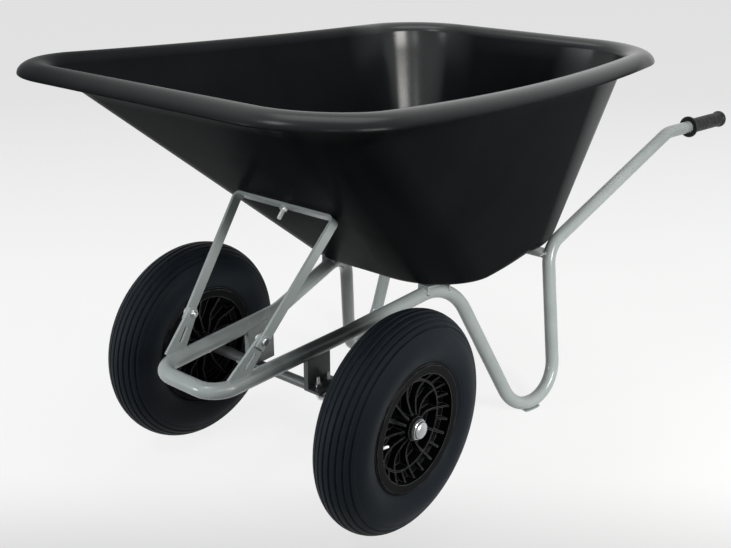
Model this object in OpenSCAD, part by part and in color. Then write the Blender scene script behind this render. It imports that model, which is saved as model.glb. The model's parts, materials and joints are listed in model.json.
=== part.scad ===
// Two wheel wheelbarrow: a moulded tray on a bent tube frame with a fixed axle and pneumatic tyres.
// Millimetres. X points to the nose, Y to the left, Z up. The ground is z = 0.

/* [Wheels] */
// Outside diameter of the tyres
tyre_d = 400; // [380:1:420]
// Width of the tyre section
tyre_w = 98; // [92:1:104]
// Thickness of the tyre's wall
tyre_wall = 6; // [4:0.5:8]
// Height of the tread above the casing
tread_h = 4; // [3:0.5:6]
// Width of the tread band
tread_w = 76; // [66:1:80]
// Number of grooves round the tread
groove_n = 9; // [5:1:10]
// Width of one tread groove
groove_w = 2.5; // [2:0.5:4]
// Distance between the wheel centres
track = 516; // [490:1:560]
// Height of the tyre from the bead seats to the tread
section_h = 97; // [95:0.5:99]
// Height of the rim's flanges above the bead seats
flange_h = 13; // [10:0.5:15]
// Width of the rim between the flanges
rim_w = 73; // [68:0.5:78]
// Thickness of the rim's moulded walls
rim_wall = 5; // [4:0.5:6]
// Number of main ribs on each side of the rim
rib_n = 12; // [8:1:16]
// Thickness of a rib
rib_t = 3.4; // [2.5:0.1:4.5]
// Distance from the bead seats in to the ring that ties the ribs together
rib_ring_in = 22; // [18:1:28]
// Length of the rim's hub
hub_l = 70; // [60:1:74]
// Outside diameter of the rim's hub
hub_d = 44; // [40:1:50]
// Outside diameter of a hub bush
bush_d = 28; // [26:0.5:32]
// Length of a hub bush inside the hub
bush_l = 22; // [15:1:28]
// Diameter of the domed hub caps
cap_d = 35; // [32:1:40]
// Diameter of the axle
axle_d = 20; // [16:0.5:22]

/* [Frame] */
// Diameter of the frame tube
tube_d = 28; // [25:0.5:32]
// Wall of the frame tube
tube_wall = 2; // [1.5:0.25:3]
// Height of the rails' centre line
rail_h = 291; // [280:1:300]
// Distance from the axle forward to the nose bar's centre line
nose_front = 246; // [236:1:270]
// Spacing of the rails' centre lines at the nose
nose_gauge = 144; // [136:1:156]
// Spacing of the rails' centre lines behind the axle
rail_gauge = 170; // [162:1:180]
// Distance from the axle back to where the rails start to rise
rail_back = 60; // [54:1:80]
// Bend radius of the nose, on the centre line
nose_bend = 42; // [36:1:60]
// Bend radius where the rails start to rise
rail_bend = 150; // [100:5:200]

/* [Legs and handles] */
// Half spacing of the two side frames' planes on the ground beside the axle
side_half = 126; // [118:1:134]
// Angle by which the side frames spread towards the handles
side_flare = 13; // [10:0.5:16]
// Angle by which the side frames spread towards the ground
side_splay = 11.3; // [8:0.1:14]
// Distance behind the axle of the crest that carries the tray
crest_back = 318; // [308:1:328]
// Height of the crest's corner
crest_h = 325; // [318:1:332]
// Bend radius of the crest
crest_bend = 96; // [84:1:110]
// Distance behind the axle of the foot loop's centre
foot_back = 507; // [497:1:520]
// Bend radius of the foot loop
foot_bend = 78; // [66:1:88]
// Distance behind the axle of the rear leg's upper corner
leg_back = 601; // [594:1:612]
// Height of the rear leg's upper corner
leg_h = 329; // [322:1:340]
// Bend radius at the top of the rear leg
leg_bend = 60; // [45:1:75]
// Distance behind the axle of the corner before the grip
handle_back = 1029; // [1000:1:1060]
// Height of the corner before the grip
handle_h = 506; // [490:1:530]
// Bend radius before the grip
handle_bend = 70; // [50:1:90]
// Distance behind the axle of the tube's end
tube_back = 1232; // [1215:1:1260]
// Height of the tube's end
tube_end_h = 509; // [498:1:525]
// Length of a grip from its flange to the tube's end
grip_l = 124; // [110:1:130]
// Diameter of a grip's body
grip_d = 34; // [33:0.5:38]
// Diameter of a grip's hand guard flange
guard_d = 50; // [44:1:56]
// Diameter of the collar at a grip's end
collar_d = 39; // [38:0.5:42]
// Thickness of the wear plates under the feet
skid_t = 3; // [2:0.5:5]
// Length of the flat of a wear plate
skid_l = 24; // [18:1:40]
// Width of a wear plate
skid_w = 20; // [16:1:26]

/* [Axle hangers] */
// Length of a hanger along the rail
hanger_l = 66; // [60:1:76]
// Thickness of the hanger plates
hanger_t = 5; // [4:0.5:6]
// Width of a hanger's clamping foot
hanger_w = 36; // [32:1:44]
// Diameter of the rod that the clamp bows are bent from
bow_rod_d = 8; // [6:0.5:8]

/* [Front stay] */
// Width of the stay's flat bar
stay_w = 20; // [18:1:26]
// Thickness of the stay's flat bar
stay_t = 5; // [4:0.5:6]
// Length of the stay's legs below the tray
stay_l = 250; // [242:1:256]
// Width over the stay at the tray
stay_top_w = 236; // [228:1:244]
// Width over the stay at the ends of its legs
stay_foot_w = 182; // [178:1:186]
// Inside radius of the stay's bends
stay_bend = 7; // [5:0.5:12]
// Height on the tray's front wall where the stay is bolted
stay_h = 534.5; // [526:0.5:543]
// Thickness of the bracket plates
bracket_t = 5; // [4:0.5:6]

/* [Tray] */
// Wall thickness of the moulded tray
tray_t = 4; // [3:0.25:5]
// Slope of the tray's front wall from level
front_slope = 41.5; // [39:0.5:43]
// Angle by which the tray slopes down towards the handles
tray_tilt = 2.6; // [2:0.1:3.2]
// Height of the rim's crest at the front
rim_front_h = 788; // [774:1:804]
// Height of the rim's crest at the rear
rim_rear_h = 741; // [728:1:758]
// Distance from the axle back to the top of the rear wall
rim_back = 757; // [745:1:775]
// Half width at the top of the walls, at the front
rim_front_half = 323; // [313:1:333]
// Half width at the top of the walls, at the rear
rim_rear_half = 293; // [283:1:303]
// Plan radius of the top corners at the front
rim_front_r = 102; // [84:1:120]
// Plan radius of the top corners at the rear
rim_rear_r = 112; // [94:1:130]
// Outward bow of the rim's long sides
rim_bow = 28; // [14:1:38]
// Sag of the rim's crest halfway along the sides
rim_sag = 10; // [0:1:16]
// Width of the rolled lip beyond the wall
lip_w = 57; // [48:1:62]
// Drop of the lip's outer edge below the crest
lip_drop = 20; // [17:1:24]
// Distance from the axle back to the rear wall's foot
floor_back = 655; // [648:1:662]
// Half width of the wall's foot at the front
floor_front_half = 199; // [192:1:206]
// Half width of the wall's foot at the rear
floor_rear_half = 200; // [194:1:202]
// Plan radius of the floor's front corners
floor_front_r = 138; // [124:1:146]
// Plan radius of the floor's rear corners
floor_rear_r = 90; // [86:1:98]
// Radius that joins the walls to the floor
floor_blend = 78; // [66:1:88]
// Thickness of the plates that carry the tray on the frame
support_t = 3.5; // [3:0.5:5]
// Width of the crossbar's flange under the tray
crossbar_w = 52; // [46:1:60]
// Depth of the crossbar's web
crossbar_h = 22; // [18:1:28]

/* [Fasteners] */
// Diameter of the bolts
bolt_d = 8; // [6:0.5:8]
// Clearance round a bolt in its hole
bolt_gap = 0.3; // [0.2:0.05:0.5]

/* [Fits] */
// Radial running clearance of the bushes on the axle
run_fit = 0.06; // [0.03:0.01:0.09]
// End play beside a wheel hub
end_play = 0.4; // [0.3:0.1:0.8]
// Gap left at welded and pushed-on faces
seat_gap = 0.1; // [0.05:0.05:0.15]

/* [Hidden] */
$fn = 64;
eps = 0.5;

paint = "#a8b0af";
zinc = "#c9ccd0";
black_plastic = "#1d1d1e";
rubber = "#24282d";

tube_r = tube_d / 2;
axle_r = axle_d / 2;
axle_h = tyre_d / 2;
seat_r = axle_h - section_h;
rib_ring_r = seat_r - rib_ring_in;
bolt_r = bolt_d / 2;
hole_r = bolt_r + bolt_gap;
nut_h = 0.8 * bolt_d;
nut_r = 0.93 * bolt_d;
head_h = 0.5 * bolt_d;
head_r = 1.15 * bolt_d;
washer_r = 1.1 * bolt_d;
washer_t = 0.2 * bolt_d;

function unit(v) = v / norm(v);
function mirrored(p) = [p.x, -p.y, p.z];
function cross2(a, b) = a.x * b.y - a.y * b.x;
function meet2(p, d, q, e) = p + d * cross2(q - p, e) / cross2(d, e);

// Direction from a point to the side of a circle that its tangent touches
function tangent2(p, c, r, side) =
    let (d = c - p, a = atan2(d.y, d.x) + side * asin(r / norm(d)))
    [cos(a), sin(a)];

// Turn of a path at corner b, and the length it takes off each straight
function turn(a, b, c) = acos(unit(b - a) * unit(c - b));
function setback(a, b, c, r) = r * tan(turn(a, b, c) / 2);
function bend_centre(a, b, c, r) =
    b + unit(unit(a - b) + unit(c - b)) * r / cos(turn(a, b, c) / 2);

// Lays children along a run from p in direction d, with their Y along n
module on_run(p, d, n) {
    x = unit(cross(n, d));
    y = cross(d, x);
    multmatrix([[x.x, y.x, d.x, p.x], [x.y, y.y, d.y, p.y], [x.z, y.z, d.z, p.z], [0, 0, 0, 1]])
        children();
}

// Sweeps a centred section along round bends, with its second form on the straight runs between them
module sweep(path, radii, n = [0, 0, 1]) {
    last = len(path) - 1;
    backs = [for (i = [0:last])
        i == 0 || i == last ? 0 : setback(path[i - 1], path[i], path[i + 1], radii[i - 1])];
    for (i = [0:last - 1]) {
        d = unit(path[i + 1] - path[i]);
        on_run(path[i] + d * backs[i], d, n)
            linear_extrude(norm(path[i + 1] - path[i]) - backs[i] - backs[i + 1])
                children($children - 1);
    }
    for (i = [1:last - 1]) {
        c = bend_centre(path[i - 1], path[i], path[i + 1], radii[i - 1]);
        y = unit(path[i] - path[i - 1]);
        x = unit(path[i] - y * backs[i] - c);
        z = cross(x, y);
        multmatrix([[x.x, y.x, z.x, c.x], [x.y, y.y, z.y, c.y], [x.z, y.z, z.z, c.z], [0, 0, 0, 1]])
            rotate(-bend_lap)
                rotate_extrude(angle = turn(path[i - 1], path[i], path[i + 1]) + 2 * bend_lap)
                    translate([radii[i - 1], 0])
                        children(0);
    }
}

// Round bar of radius r: its straights stand a hair proud, so that each bend ends inside them
bend_lap = 0.5;
run_proud = 0.03;
module bent_bar(path, radii, r)
    sweep(path, radii) {
        circle(r = r);
        circle(r = r + run_proud);
    }

module bent_tube(path, radii) {
    last = len(path) - 1;
    bore = [for (i = [0:last])
        i == 0 ? path[0] - unit(path[1] - path[0])
        : i == last ? path[last] + unit(path[last] - path[last - 1])
        : path[i]];
    difference() {
        bent_bar(path, radii, tube_r - run_proud);
        bent_bar(bore, radii, tube_r - tube_wall);
    }
}

// Side frame: each side lies in a plane that leans out towards the ground and the handles
side_along = [-cos(side_flare), sin(side_flare), 0];
side_up = [-sin(side_flare) * sin(side_splay), -cos(side_flare) * sin(side_splay), cos(side_splay)];
function side_at(back, height) = [back, height / cos(side_splay)];
function side_point(p) = [0, side_half, 0] + p.x * side_along + p.y * side_up;

crest2 = side_at(crest_back, crest_h);
leg2 = side_at(leg_back, leg_h);
foot2 = [foot_back, foot_bend + (tube_r + skid_t) / cos(side_splay)];
foot_corner2 = meet2(crest2, tangent2(crest2, foot2, foot_bend, -1),
    leg2, tangent2(leg2, foot2, foot_bend, 1));
crest_corner = side_point(crest2);
rail_corner = [-rail_back, rail_gauge / 2, rail_h];
nose_corner = [nose_front, nose_gauge / 2, rail_h];
splice_l = 45;
splice = rail_corner + unit(crest_corner - rail_corner) * splice_l;
handle_corner = side_point(side_at(handle_back, handle_h));
tube_end = side_point(side_at(tube_back, tube_end_h));
grip_dir = unit(tube_end - handle_corner);

side_path = [splice, crest_corner, side_point(foot_corner2), side_point(leg2), handle_corner, tube_end];
side_radii = [crest_bend, foot_bend, leg_bend, handle_bend];
bow_path = [splice, rail_corner, nose_corner, mirrored(nose_corner), mirrored(rail_corner),
    mirrored(splice)];
bow_radii = [rail_bend, nose_bend, nose_bend, rail_bend];

function rail_y(x) = nose_gauge / 2
    + (rail_gauge - nose_gauge) / 2 * (nose_front - x) / (nose_front + rail_back);

// Outline of the left rail's straight, for coping the pieces welded to it
module rail_cope()
    on_run(rail_corner, unit(nose_corner - rail_corner), [0, 0, 1])
        cylinder(r = tube_r + seat_gap, h = norm(nose_corner - rail_corner));

// Highest point of the crest's bend, where the tray is carried
crest_centre = bend_centre(splice, crest_corner, side_point(foot_corner2), crest_bend);
crest_in = unit(crest_corner - splice);
crest_arm = unit(crest_corner - crest_in
    * setback(splice, crest_corner, side_point(foot_corner2), crest_bend) - crest_centre);
crest_lift = norm([crest_arm.z, crest_in.z]);
crest_top = crest_centre
    + crest_bend * (crest_arm * crest_arm.z + crest_in * crest_in.z) / crest_lift;
floor_h = crest_top.z + tube_r + 2 * seat_gap + support_t;

// The tray and its seats slope about the crest
function floor_at(x) = floor_h + (x - crest_top.x) * tan(tray_tilt);
module on_tray()
    translate([crest_top.x, 0, floor_h])
        rotate([0, -tray_tilt, 0])
            translate([-crest_top.x, 0, -floor_h])
                children();

module nose_bow()
    color(paint)
        bent_tube(bow_path, bow_radii);

module left_side_tube()
    color(paint)
        bent_tube(side_path, side_radii);

// Solid outline of the side tube, for coping the pieces welded to it
module side_cope()
    bent_bar(side_path, side_radii, tube_r + seat_gap);

// Fasteners, each along +Z from the face it bears on
module nut(r = bolt_r)
    difference() {
        cylinder(r = nut_r * r / bolt_r, h = nut_h * r / bolt_r, $fn = 6);
        translate([0, 0, -eps])
            cylinder(r = r + seat_gap, h = nut_h * r / bolt_r + 2 * eps);
    }

module washer()
    difference() {
        cylinder(r = washer_r, h = washer_t);
        translate([0, 0, -eps])
            cylinder(r = hole_r, h = washer_t + 2 * eps);
    }

// Domed head above z = 0 and a shank of the given length below it
module dome_bolt(shank) {
    dome_r = (head_r * head_r + head_h * head_h) / (2 * head_h);
    intersection() {
        translate([0, 0, head_h - dome_r])
            sphere(r = dome_r);
        cylinder(r = head_r + eps, h = head_h);
    }
    translate([0, 0, -shank])
        cylinder(r = bolt_r, h = shank);
}

module hex_bolt(shank) {
    cylinder(r = nut_r, h = 0.65 * bolt_d, $fn = 6);
    translate([0, 0, -shank])
        cylinder(r = bolt_r, h = shank);
}

// Tray supports: a plate along each crest, with a fold down to the tube at each end and a lug for the bolt
crest_run = (crest_in * crest_arm.z - crest_arm * crest_in.z) / crest_lift;
support_turn = atan2(-crest_run.y, -crest_run.x);
support_front = 14;
support_back = 84;
support_fold = 46;
support_lug = tube_r + 2.2 * washer_r;
support_lug_l = 3 * washer_r;
support_bolt = [crest_top.x, crest_top.y]
    + (support_lug_l / 2 - support_back) * [cos(support_turn), sin(support_turn)]
    + (1.2 * washer_r - support_lug) * [-sin(support_turn), cos(support_turn)];
function crest_drop(x) = crest_bend - sqrt(crest_bend * crest_bend - x * x);

module left_tray_support()
    color(paint)
        difference() {
            on_tray()
                translate([crest_top.x, crest_top.y, floor_h - support_t])
                    rotate(support_turn) {
                        translate([-support_back, -tube_r, 0])
                            cube([support_back + support_front, tube_d, support_t]);
                        translate([-support_back, -support_lug, 0])
                            cube([support_lug_l, support_lug, support_t]);
                        for (x = [-support_fold, support_front - support_t])
                            translate([x, -tube_r, -tube_r - crest_drop(x)])
                                cube([support_t, tube_d, tube_r + crest_drop(x) + support_t / 2]);
                    }
            side_cope();
            on_tray()
                translate([support_bolt.x, support_bolt.y, floor_h - support_t - eps])
                    cylinder(r = hole_r, h = support_t + 2 * eps);
        }

// Rear crossbar: an angle between the tops of the rear legs
crossbar_t = support_t;
crossbar_x = side_point(leg2).x - 0.35 * crossbar_w;
crossbar_bolt_y = 70;
crossbar_bolt_x = crossbar_x + crossbar_w - 1.3 * washer_r;

module rear_crossbar()
    color(paint)
        difference() {
            on_tray()
                translate([0, side_point(leg2).y, 0])
                    rotate([90, 0, 0])
                        linear_extrude(2 * side_point(leg2).y) {
                            translate([crossbar_x, floor_h - crossbar_t])
                                square([crossbar_w, crossbar_t]);
                            translate([crossbar_x, floor_h - crossbar_h])
                                square([crossbar_t, crossbar_h]);
                        }
            side_cope();
            mirror([0, 1, 0])
                side_cope();
            on_tray()
                for (y = [-crossbar_bolt_y, crossbar_bolt_y])
                    translate([crossbar_bolt_x, y, floor_h - crossbar_t - eps])
                        cylinder(r = hole_r, h = crossbar_t + 2 * eps);
        }

// Wear plates: flat on the ground with both ends turned up along the foot loop
module left_foot_plate() {
    foot = side_point([foot_back, foot2.y - foot_bend]);
    tip_l = 0.4 * skid_l;
    tip_a = 14;
    color(paint)
        translate([foot.x, foot.y, 0])
            rotate(180 - side_flare)
                difference() {
                    translate([0, skid_w / 2, 0])
                        rotate([90, 0, 0])
                            linear_extrude(skid_w)
                                polygon([
                                    [-skid_l / 2, 0],
                                    [skid_l / 2, 0],
                                    [skid_l / 2 + tip_l * cos(tip_a), tip_l * sin(tip_a)],
                                    [skid_l / 2 + tip_l * cos(tip_a) - skid_t * sin(tip_a),
                                        tip_l * sin(tip_a) + skid_t * cos(tip_a)],
                                    [skid_l / 2 - skid_t * tan(tip_a / 2), skid_t],
                                    [-skid_l / 2 + skid_t * tan(tip_a / 2), skid_t],
                                    [-skid_l / 2 - tip_l * cos(tip_a) + skid_t * sin(tip_a),
                                        tip_l * sin(tip_a) + skid_t * cos(tip_a)],
                                    [-skid_l / 2 - tip_l * cos(tip_a), tip_l * sin(tip_a)]]);
                    rotate(side_flare - 180)
                        translate([-foot.x, -foot.y, 0])
                            side_cope();
                }
}

// Grip: a sleeve closed at the end, with a hand guard, shallow rings and an end collar
grip_cap = 4;
module left_grip() {
    guard_t = 6;
    collar_t = 8;
    ring_n = 6;
    ring_step = (grip_l - guard_t - collar_t) / (ring_n + 1);
    color(black_plastic)
        on_run(tube_end - grip_dir * grip_l, grip_dir, [0, 0, 1])
            difference() {
                rotate_extrude()
                    difference() {
                        union() {
                            square([grip_d / 2, grip_l + grip_cap]);
                            translate([0, 0])
                                square([guard_d / 2 - guard_t / 2, guard_t]);
                            translate([guard_d / 2 - guard_t / 2, guard_t / 2])
                                circle(d = guard_t);
                            translate([0, grip_l + grip_cap - collar_t])
                                square([collar_d / 2, collar_t]);
                        }
                        for (i = [1:ring_n])
                            translate([grip_d / 2 + 1, guard_t + i * ring_step])
                                circle(r = 2, $fn = 32);
                        translate([-collar_d, -eps])
                            square([collar_d, grip_l + 2 * grip_cap]);
                    }
                translate([0, 0, -eps])
                    cylinder(r = tube_r + seat_gap, h = grip_l + eps);
            }
}

// Axle with a cross hole for the pin inside each wheel
hub_end = hub_l / 2;
bush_flange = 3;
side_washer_t = 2;
washer_out = hub_end + bush_flange + end_play;
cap_base = washer_out + side_washer_t;
axle_end = cap_base + 5;
pin_d = 5;
pin_out = washer_out + side_washer_t + pin_d / 2;
pin_l = axle_d + 10;

module axle()
    color("#8e9596")
        difference() {
            translate([0, -track / 2 - axle_end, axle_h])
                rotate([-90, 0, 0])
                    cylinder(r = axle_r, h = track + 2 * axle_end);
            for (s = [-1, 1])
                translate([0, s * (track / 2 - pin_out), axle_h - axle_d])
                    cylinder(r = pin_d / 2 + seat_gap, h = 2 * axle_d);
        }

module axle_pins()
    color(zinc)
        for (s = [-1, 1])
            translate([0, s * (track / 2 - pin_out), axle_h - pin_l / 2])
                cylinder(r = pin_d / 2, h = pin_l);

// Axle hangers: a plate beside each rail with a foot on the axle and a folded front edge
hanger_y = rail_y(0);
hanger_foot_h = axle_h + axle_r;
bow_leg = axle_r + bow_rod_d / 2 + seat_gap;
bow_hole_r = bow_rod_d / 2 + bolt_gap;
clamp_nut_h = nut_h * bow_rod_d / bolt_d;
bow_top = hanger_foot_h + hanger_t + clamp_nut_h + 1.6 * bow_rod_d;

module left_axle_hanger()
    color(paint)
        difference() {
            translate([0, hanger_y, 0])
                union() {
                    translate([-hanger_l / 2, -tube_r, hanger_foot_h])
                        cube([hanger_l, hanger_t, rail_h - hanger_foot_h]);
                    translate([-hanger_l / 2, -tube_r, hanger_foot_h])
                        cube([hanger_l, hanger_w, hanger_t]);
                    translate([hanger_l / 2 - hanger_t, -tube_r, hanger_foot_h])
                        cube([hanger_t, 2 * hanger_t, rail_h - hanger_foot_h]);
                }
            rail_cope();
            for (x = [-bow_leg, bow_leg])
                translate([x, hanger_y + hanger_t / 2, hanger_foot_h - eps])
                    cylinder(r = bow_hole_r, h = hanger_t + 2 * eps);
        }

module axle_clamp_bows()
    color(zinc)
        for (s = [-1, 1])
            translate([0, s * (hanger_y + hanger_t / 2), 0]) {
                for (x = [-bow_leg, bow_leg])
                    translate([x, 0, axle_h])
                        cylinder(r = bow_rod_d / 2, h = bow_top - axle_h);
                translate([0, 0, axle_h])
                    rotate([90, 0, 180])
                        rotate([0, 0, 180])
                            rotate_extrude(angle = 180)
                                translate([bow_leg, 0])
                                    circle(d = bow_rod_d);
            }

module clamp_nuts()
    color(zinc)
        for (s = [-1, 1])
            for (x = [-bow_leg, bow_leg])
                translate([x, s * (hanger_y + hanger_t / 2), hanger_foot_h + hanger_t])
                    nut(bow_rod_d / 2);

// Front stay: local X runs up the tray's front wall and local Z points into it
stay_x = -6;
stay_lean = atan2((stay_top_w - stay_foot_w) / 2, stay_l);
module on_front_wall()
    translate([stay_x, 0, stay_h])
        rotate([0, -front_slope, 0])
            children();

// Places children at the end of the left leg: Y out of the leg's inner face, Z up the leg
module on_stay_leg()
    on_front_wall()
        translate([0, stay_foot_w / 2 - stay_t * cos(stay_lean), -stay_l])
            rotate([-stay_lean, 0, 0])
                children();

module front_stay() {
    half_top = stay_top_w / 2 - stay_t / 2;
    half_foot = stay_foot_w / 2 - stay_t / 2;
    corner_r = stay_bend + stay_t / 2;
    color(paint)
        on_front_wall()
            difference() {
                sweep([[0, half_foot, -stay_l], [0, half_top, -stay_t / 2],
                    [0, -half_top, -stay_t / 2], [0, -half_foot, -stay_l]],
                    [corner_r, corner_r], [1, 0, 0]) {
                    square([stay_t - 2 * run_proud, stay_w - 2 * run_proud], center = true);
                    square([stay_t, stay_w], center = true);
                }
                translate([0, 0, -stay_t - eps])
                    cylinder(r = hole_r, h = stay_t + 2 * eps);
                for (s = [0, 1])
                    mirror([0, s, 0])
                        translate([0, stay_foot_w / 2 - stay_t * cos(stay_lean), -stay_l])
                            rotate([-stay_lean, 0, 0])
                                translate([0, -stay_t, bracket_bolt])
                                    rotate([-90, 0, 0])
                                        cylinder(r = hole_r, h = 3 * stay_t);
            }
}

// Stay brackets: slotted tapered plates welded on the rails
bracket_bolt = 15;
bracket_up = bracket_bolt + 1.6 * bolt_d;
bracket_base = 2.1 * stay_w;
module left_stay_bracket() {
    drop = 0.28 * stay_l;
    slot_r = 0.45 * bolt_d;
    color(paint)
        difference() {
            on_stay_leg()
                translate([0, -seat_gap, 0])
                    rotate([90, 0, 0])
                        linear_extrude(bracket_t)
                            difference() {
                                polygon([[-bracket_base / 2, -drop], [bracket_base / 2, -drop],
                                    [stay_w / 2, bracket_up - 6], [stay_w / 2 - 6, bracket_up],
                                    [-stay_w / 2 + 6, bracket_up], [-stay_w / 2, bracket_up - 6]]);
                                translate([0, bracket_bolt])
                                    circle(r = hole_r);
                                translate([-slot_r, -0.55 * drop])
                                    square([2 * slot_r, 0.36 * drop]);
                                for (z = [-0.55 * drop, -0.19 * drop])
                                    translate([0, z])
                                        circle(r = slot_r);
                            }
            rail_cope();
            translate([0, 0, rail_h - 2 * tube_d])
                linear_extrude(2 * tube_d)
                    square(4 * nose_front, center = true);
        }
}

module stay_bolts()
    color(zinc)
        for (s = [0, 1])
            mirror([0, s, 0])
                on_stay_leg()
                    translate([0, stay_t + seat_gap, bracket_bolt])
                        rotate([-90, 0, 0])
                            hex_bolt(stay_t + bracket_t + nut_h + 0.5 * bolt_d);

module stay_nuts()
    color(zinc)
        for (s = [0, 1])
            mirror([0, s, 0])
                on_stay_leg()
                    translate([0, -bracket_t - 2 * seat_gap, bracket_bolt])
                        rotate([90, 0, 0])
                            nut();

module stay_tray_bolt()
    color(zinc)
        on_front_wall()
            translate([0, 0, tray_t + seat_gap])
                dome_bolt(tray_t + stay_t + nut_h + 2.2 * bolt_d);

module stay_tray_nut()
    color(zinc)
        on_front_wall()
            translate([0, 0, -stay_t - seat_gap])
                rotate([180, 0, 0])
                    nut();

// Tray: rings of points, each point walking from the floor up the wall, over the lip and down inside
rim_front = stay_x + (rim_front_h - lip_drop - stay_h) / tan(front_slope);
wall_run = 1 / tan(front_slope);
floor_front = (stay_x - (stay_h - floor_h + crest_top.x * tan(tray_tilt)) * wall_run)
    / (1 - tan(tray_tilt) * wall_run);
corner_n = 9;
edge_n = 5;

// Plan outline: four corner arcs with the straight edges between them split up
function corner_points(c, r, a0) = [for (i = [0:corner_n])
    let (a = a0 + 90 * i / corner_n)
    c + r * [cos(a), sin(a)]];
function edge_points(a, b) = [for (i = [1:edge_n]) a + (b - a) * i / (edge_n + 1)];
function outline(front, back, half_f, half_b, r_f, r_b) =
    let (fl = corner_points([front - r_f, half_f - r_f], r_f, 0),
        bl = corner_points([back + r_b, half_b - r_b], r_b, 90),
        br = corner_points([back + r_b, r_b - half_b], r_b, 180),
        fr = corner_points([front - r_f, r_f - half_f], r_f, 270))
    concat(fl, edge_points(fl[corner_n], bl[0]), bl, edge_points(bl[corner_n], br[0]), br,
        edge_points(br[corner_n], fr[0]), fr, edge_points(fr[corner_n], fl[0]));

// Place along the tray: -1 at the rear, 1 at the front
function along(x) = (2 * x - rim_front + rim_back) / (rim_front + rim_back);
function bowed(p) =
    [p.x, p.y + sign(p.y) * rim_bow * (1 - along(p.x) * along(p.x)) * pow(abs(p.y) / rim_front_half, 2)];

top_plan = [for (p = outline(rim_front, -rim_back, rim_front_half, rim_rear_half, rim_front_r, rim_rear_r))
    bowed(p)];
foot_plan = outline(floor_front, -floor_back, floor_front_half, floor_rear_half, floor_front_r,
    floor_rear_r);
ring_n = len(top_plan);

// Outward plan direction of the outline at point i
function outward(plan, i) =
    let (t = plan[(i + 1) % ring_n] - plan[(i + ring_n - 1) % ring_n])
    unit([t.y, -t.x]);
function rim_h(x) = rim_rear_h + (rim_front_h - rim_rear_h) * (1 + along(x)) / 2
    - rim_sag * (1 - along(x) * along(x));

// Profile of point i, as [outward, up] steps of the lip past the top of the wall
lip_steps = 7;
lip_t = 1.1 * tray_t;
function lip_arc(a, t) =
    let (mid = (lip_w - tray_t) / 2)
    [mid + (mid + tray_t - t) * cos(a), (lip_drop - t) * (sin(a) - 1) - t];

function profile(i) =
    let (foot = [foot_plan[i].x, foot_plan[i].y, floor_at(foot_plan[i].x)],
        top = [top_plan[i].x, top_plan[i].y, rim_h(top_plan[i].x) - lip_drop],
        out2 = outward(top_plan, i),
        out = [out2.x, out2.y, 0],
        in2 = outward(foot_plan, i),
        inw = -[in2.x, in2.y, in2.x * tan(tray_tilt)],
        wall = unit(top - foot),
        rise = asin(wall.z),
        back = floor_blend * tan(rise / 2),
        skin = tray_t / sin(rise),
        lift = foot + (top - foot) * tray_t / (top.z - foot.z),
        inner = [lift.x, lift.y] - in2 * skin,
        foot_in = [inner.x, inner.y, floor_at(inner.x) + tray_t / cos(tray_tilt)],
        top_in = top - out * skin,
        crest = [0, 0, lip_drop])
    concat(
        bezier(foot + inw * back, foot, foot + wall * back),
        [top],
        [for (k = [1:lip_steps]) let (q = lip_arc(180 - 180 * k / lip_steps, lip_t))
            top + crest + out * q.x + [0, 0, q.y]],
        [for (k = [0:lip_steps]) let (q = lip_arc(180 * k / lip_steps, 0))
            top + crest + out * q.x + [0, 0, q.y]],
        bezier(foot_in + unit(top_in - foot_in) * back, foot_in, foot_in + inw * back));

bezier_steps = 6;
function bezier(a, b, c) = [for (k = [0:bezier_steps])
    let (t = k / bezier_steps)
    a * (1 - t) * (1 - t) + b * 2 * t * (1 - t) + c * t * t];

module tray_shell() {
    rings = [for (i = [0:ring_n - 1]) profile(i)];
    rows = len(rings[0]);
    points = [for (j = [0:rows - 1]) for (i = [0:ring_n - 1]) rings[i][j]];
    faces = concat(
        [[for (i = [0:ring_n - 1]) i]],
        [[for (i = [ring_n - 1:-1:0]) (rows - 1) * ring_n + i]],
        [for (j = [0:rows - 2]) for (i = [0:ring_n - 1]) for (half = [0, 1])
            let (a = j * ring_n + i, b = j * ring_n + (i + 1) % ring_n)
            half == 0 ? [a, a + ring_n, b] : [b, a + ring_n, b + ring_n]]);
    polyhedron(points, faces);
}

module tray()
    color(black_plastic)
        difference() {
            tray_shell();
            at_tray_bolts(floor_h - eps)
                cylinder(r = hole_r, h = tray_t + 2 * eps);
            on_front_wall()
                translate([0, 0, -eps])
                    cylinder(r = hole_r, h = tray_t + 2 * eps);
        }

tray_bolt_places = [support_bolt, [support_bolt.x, -support_bolt.y],
    [crossbar_bolt_x, crossbar_bolt_y], [crossbar_bolt_x, -crossbar_bolt_y]];

module at_tray_bolts(height)
    on_tray()
        for (p = tray_bolt_places)
            translate([p.x, p.y, height])
                children();

module tray_bolts()
    color(zinc)
        at_tray_bolts(floor_h + tray_t)
            dome_bolt(tray_t + support_t + washer_t + nut_h + 0.6 * bolt_d);

module tray_washers()
    color(zinc)
        at_tray_bolts(floor_h - support_t - washer_t)
            washer();

module tray_nuts()
    color(zinc)
        at_tray_bolts(floor_h - support_t - washer_t - nut_h)
            nut();

// Wheels: local Z points outwards along the axle
flange_r = seat_r + flange_h;
casing_r = tyre_w / 2;
ring_r = axle_h - casing_r - tread_h;
crown_r = casing_r - 0.75 * tread_h;
tread_turn = asin(tread_w / 2 / crown_r);
groove_h = 0.7 * tread_h;
bead_w = 10;
flange_gap = 0.6;
module on_left_wheel()
    translate([0, track / 2, axle_h])
        rotate([-90, 0, 0])
            children();

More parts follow.
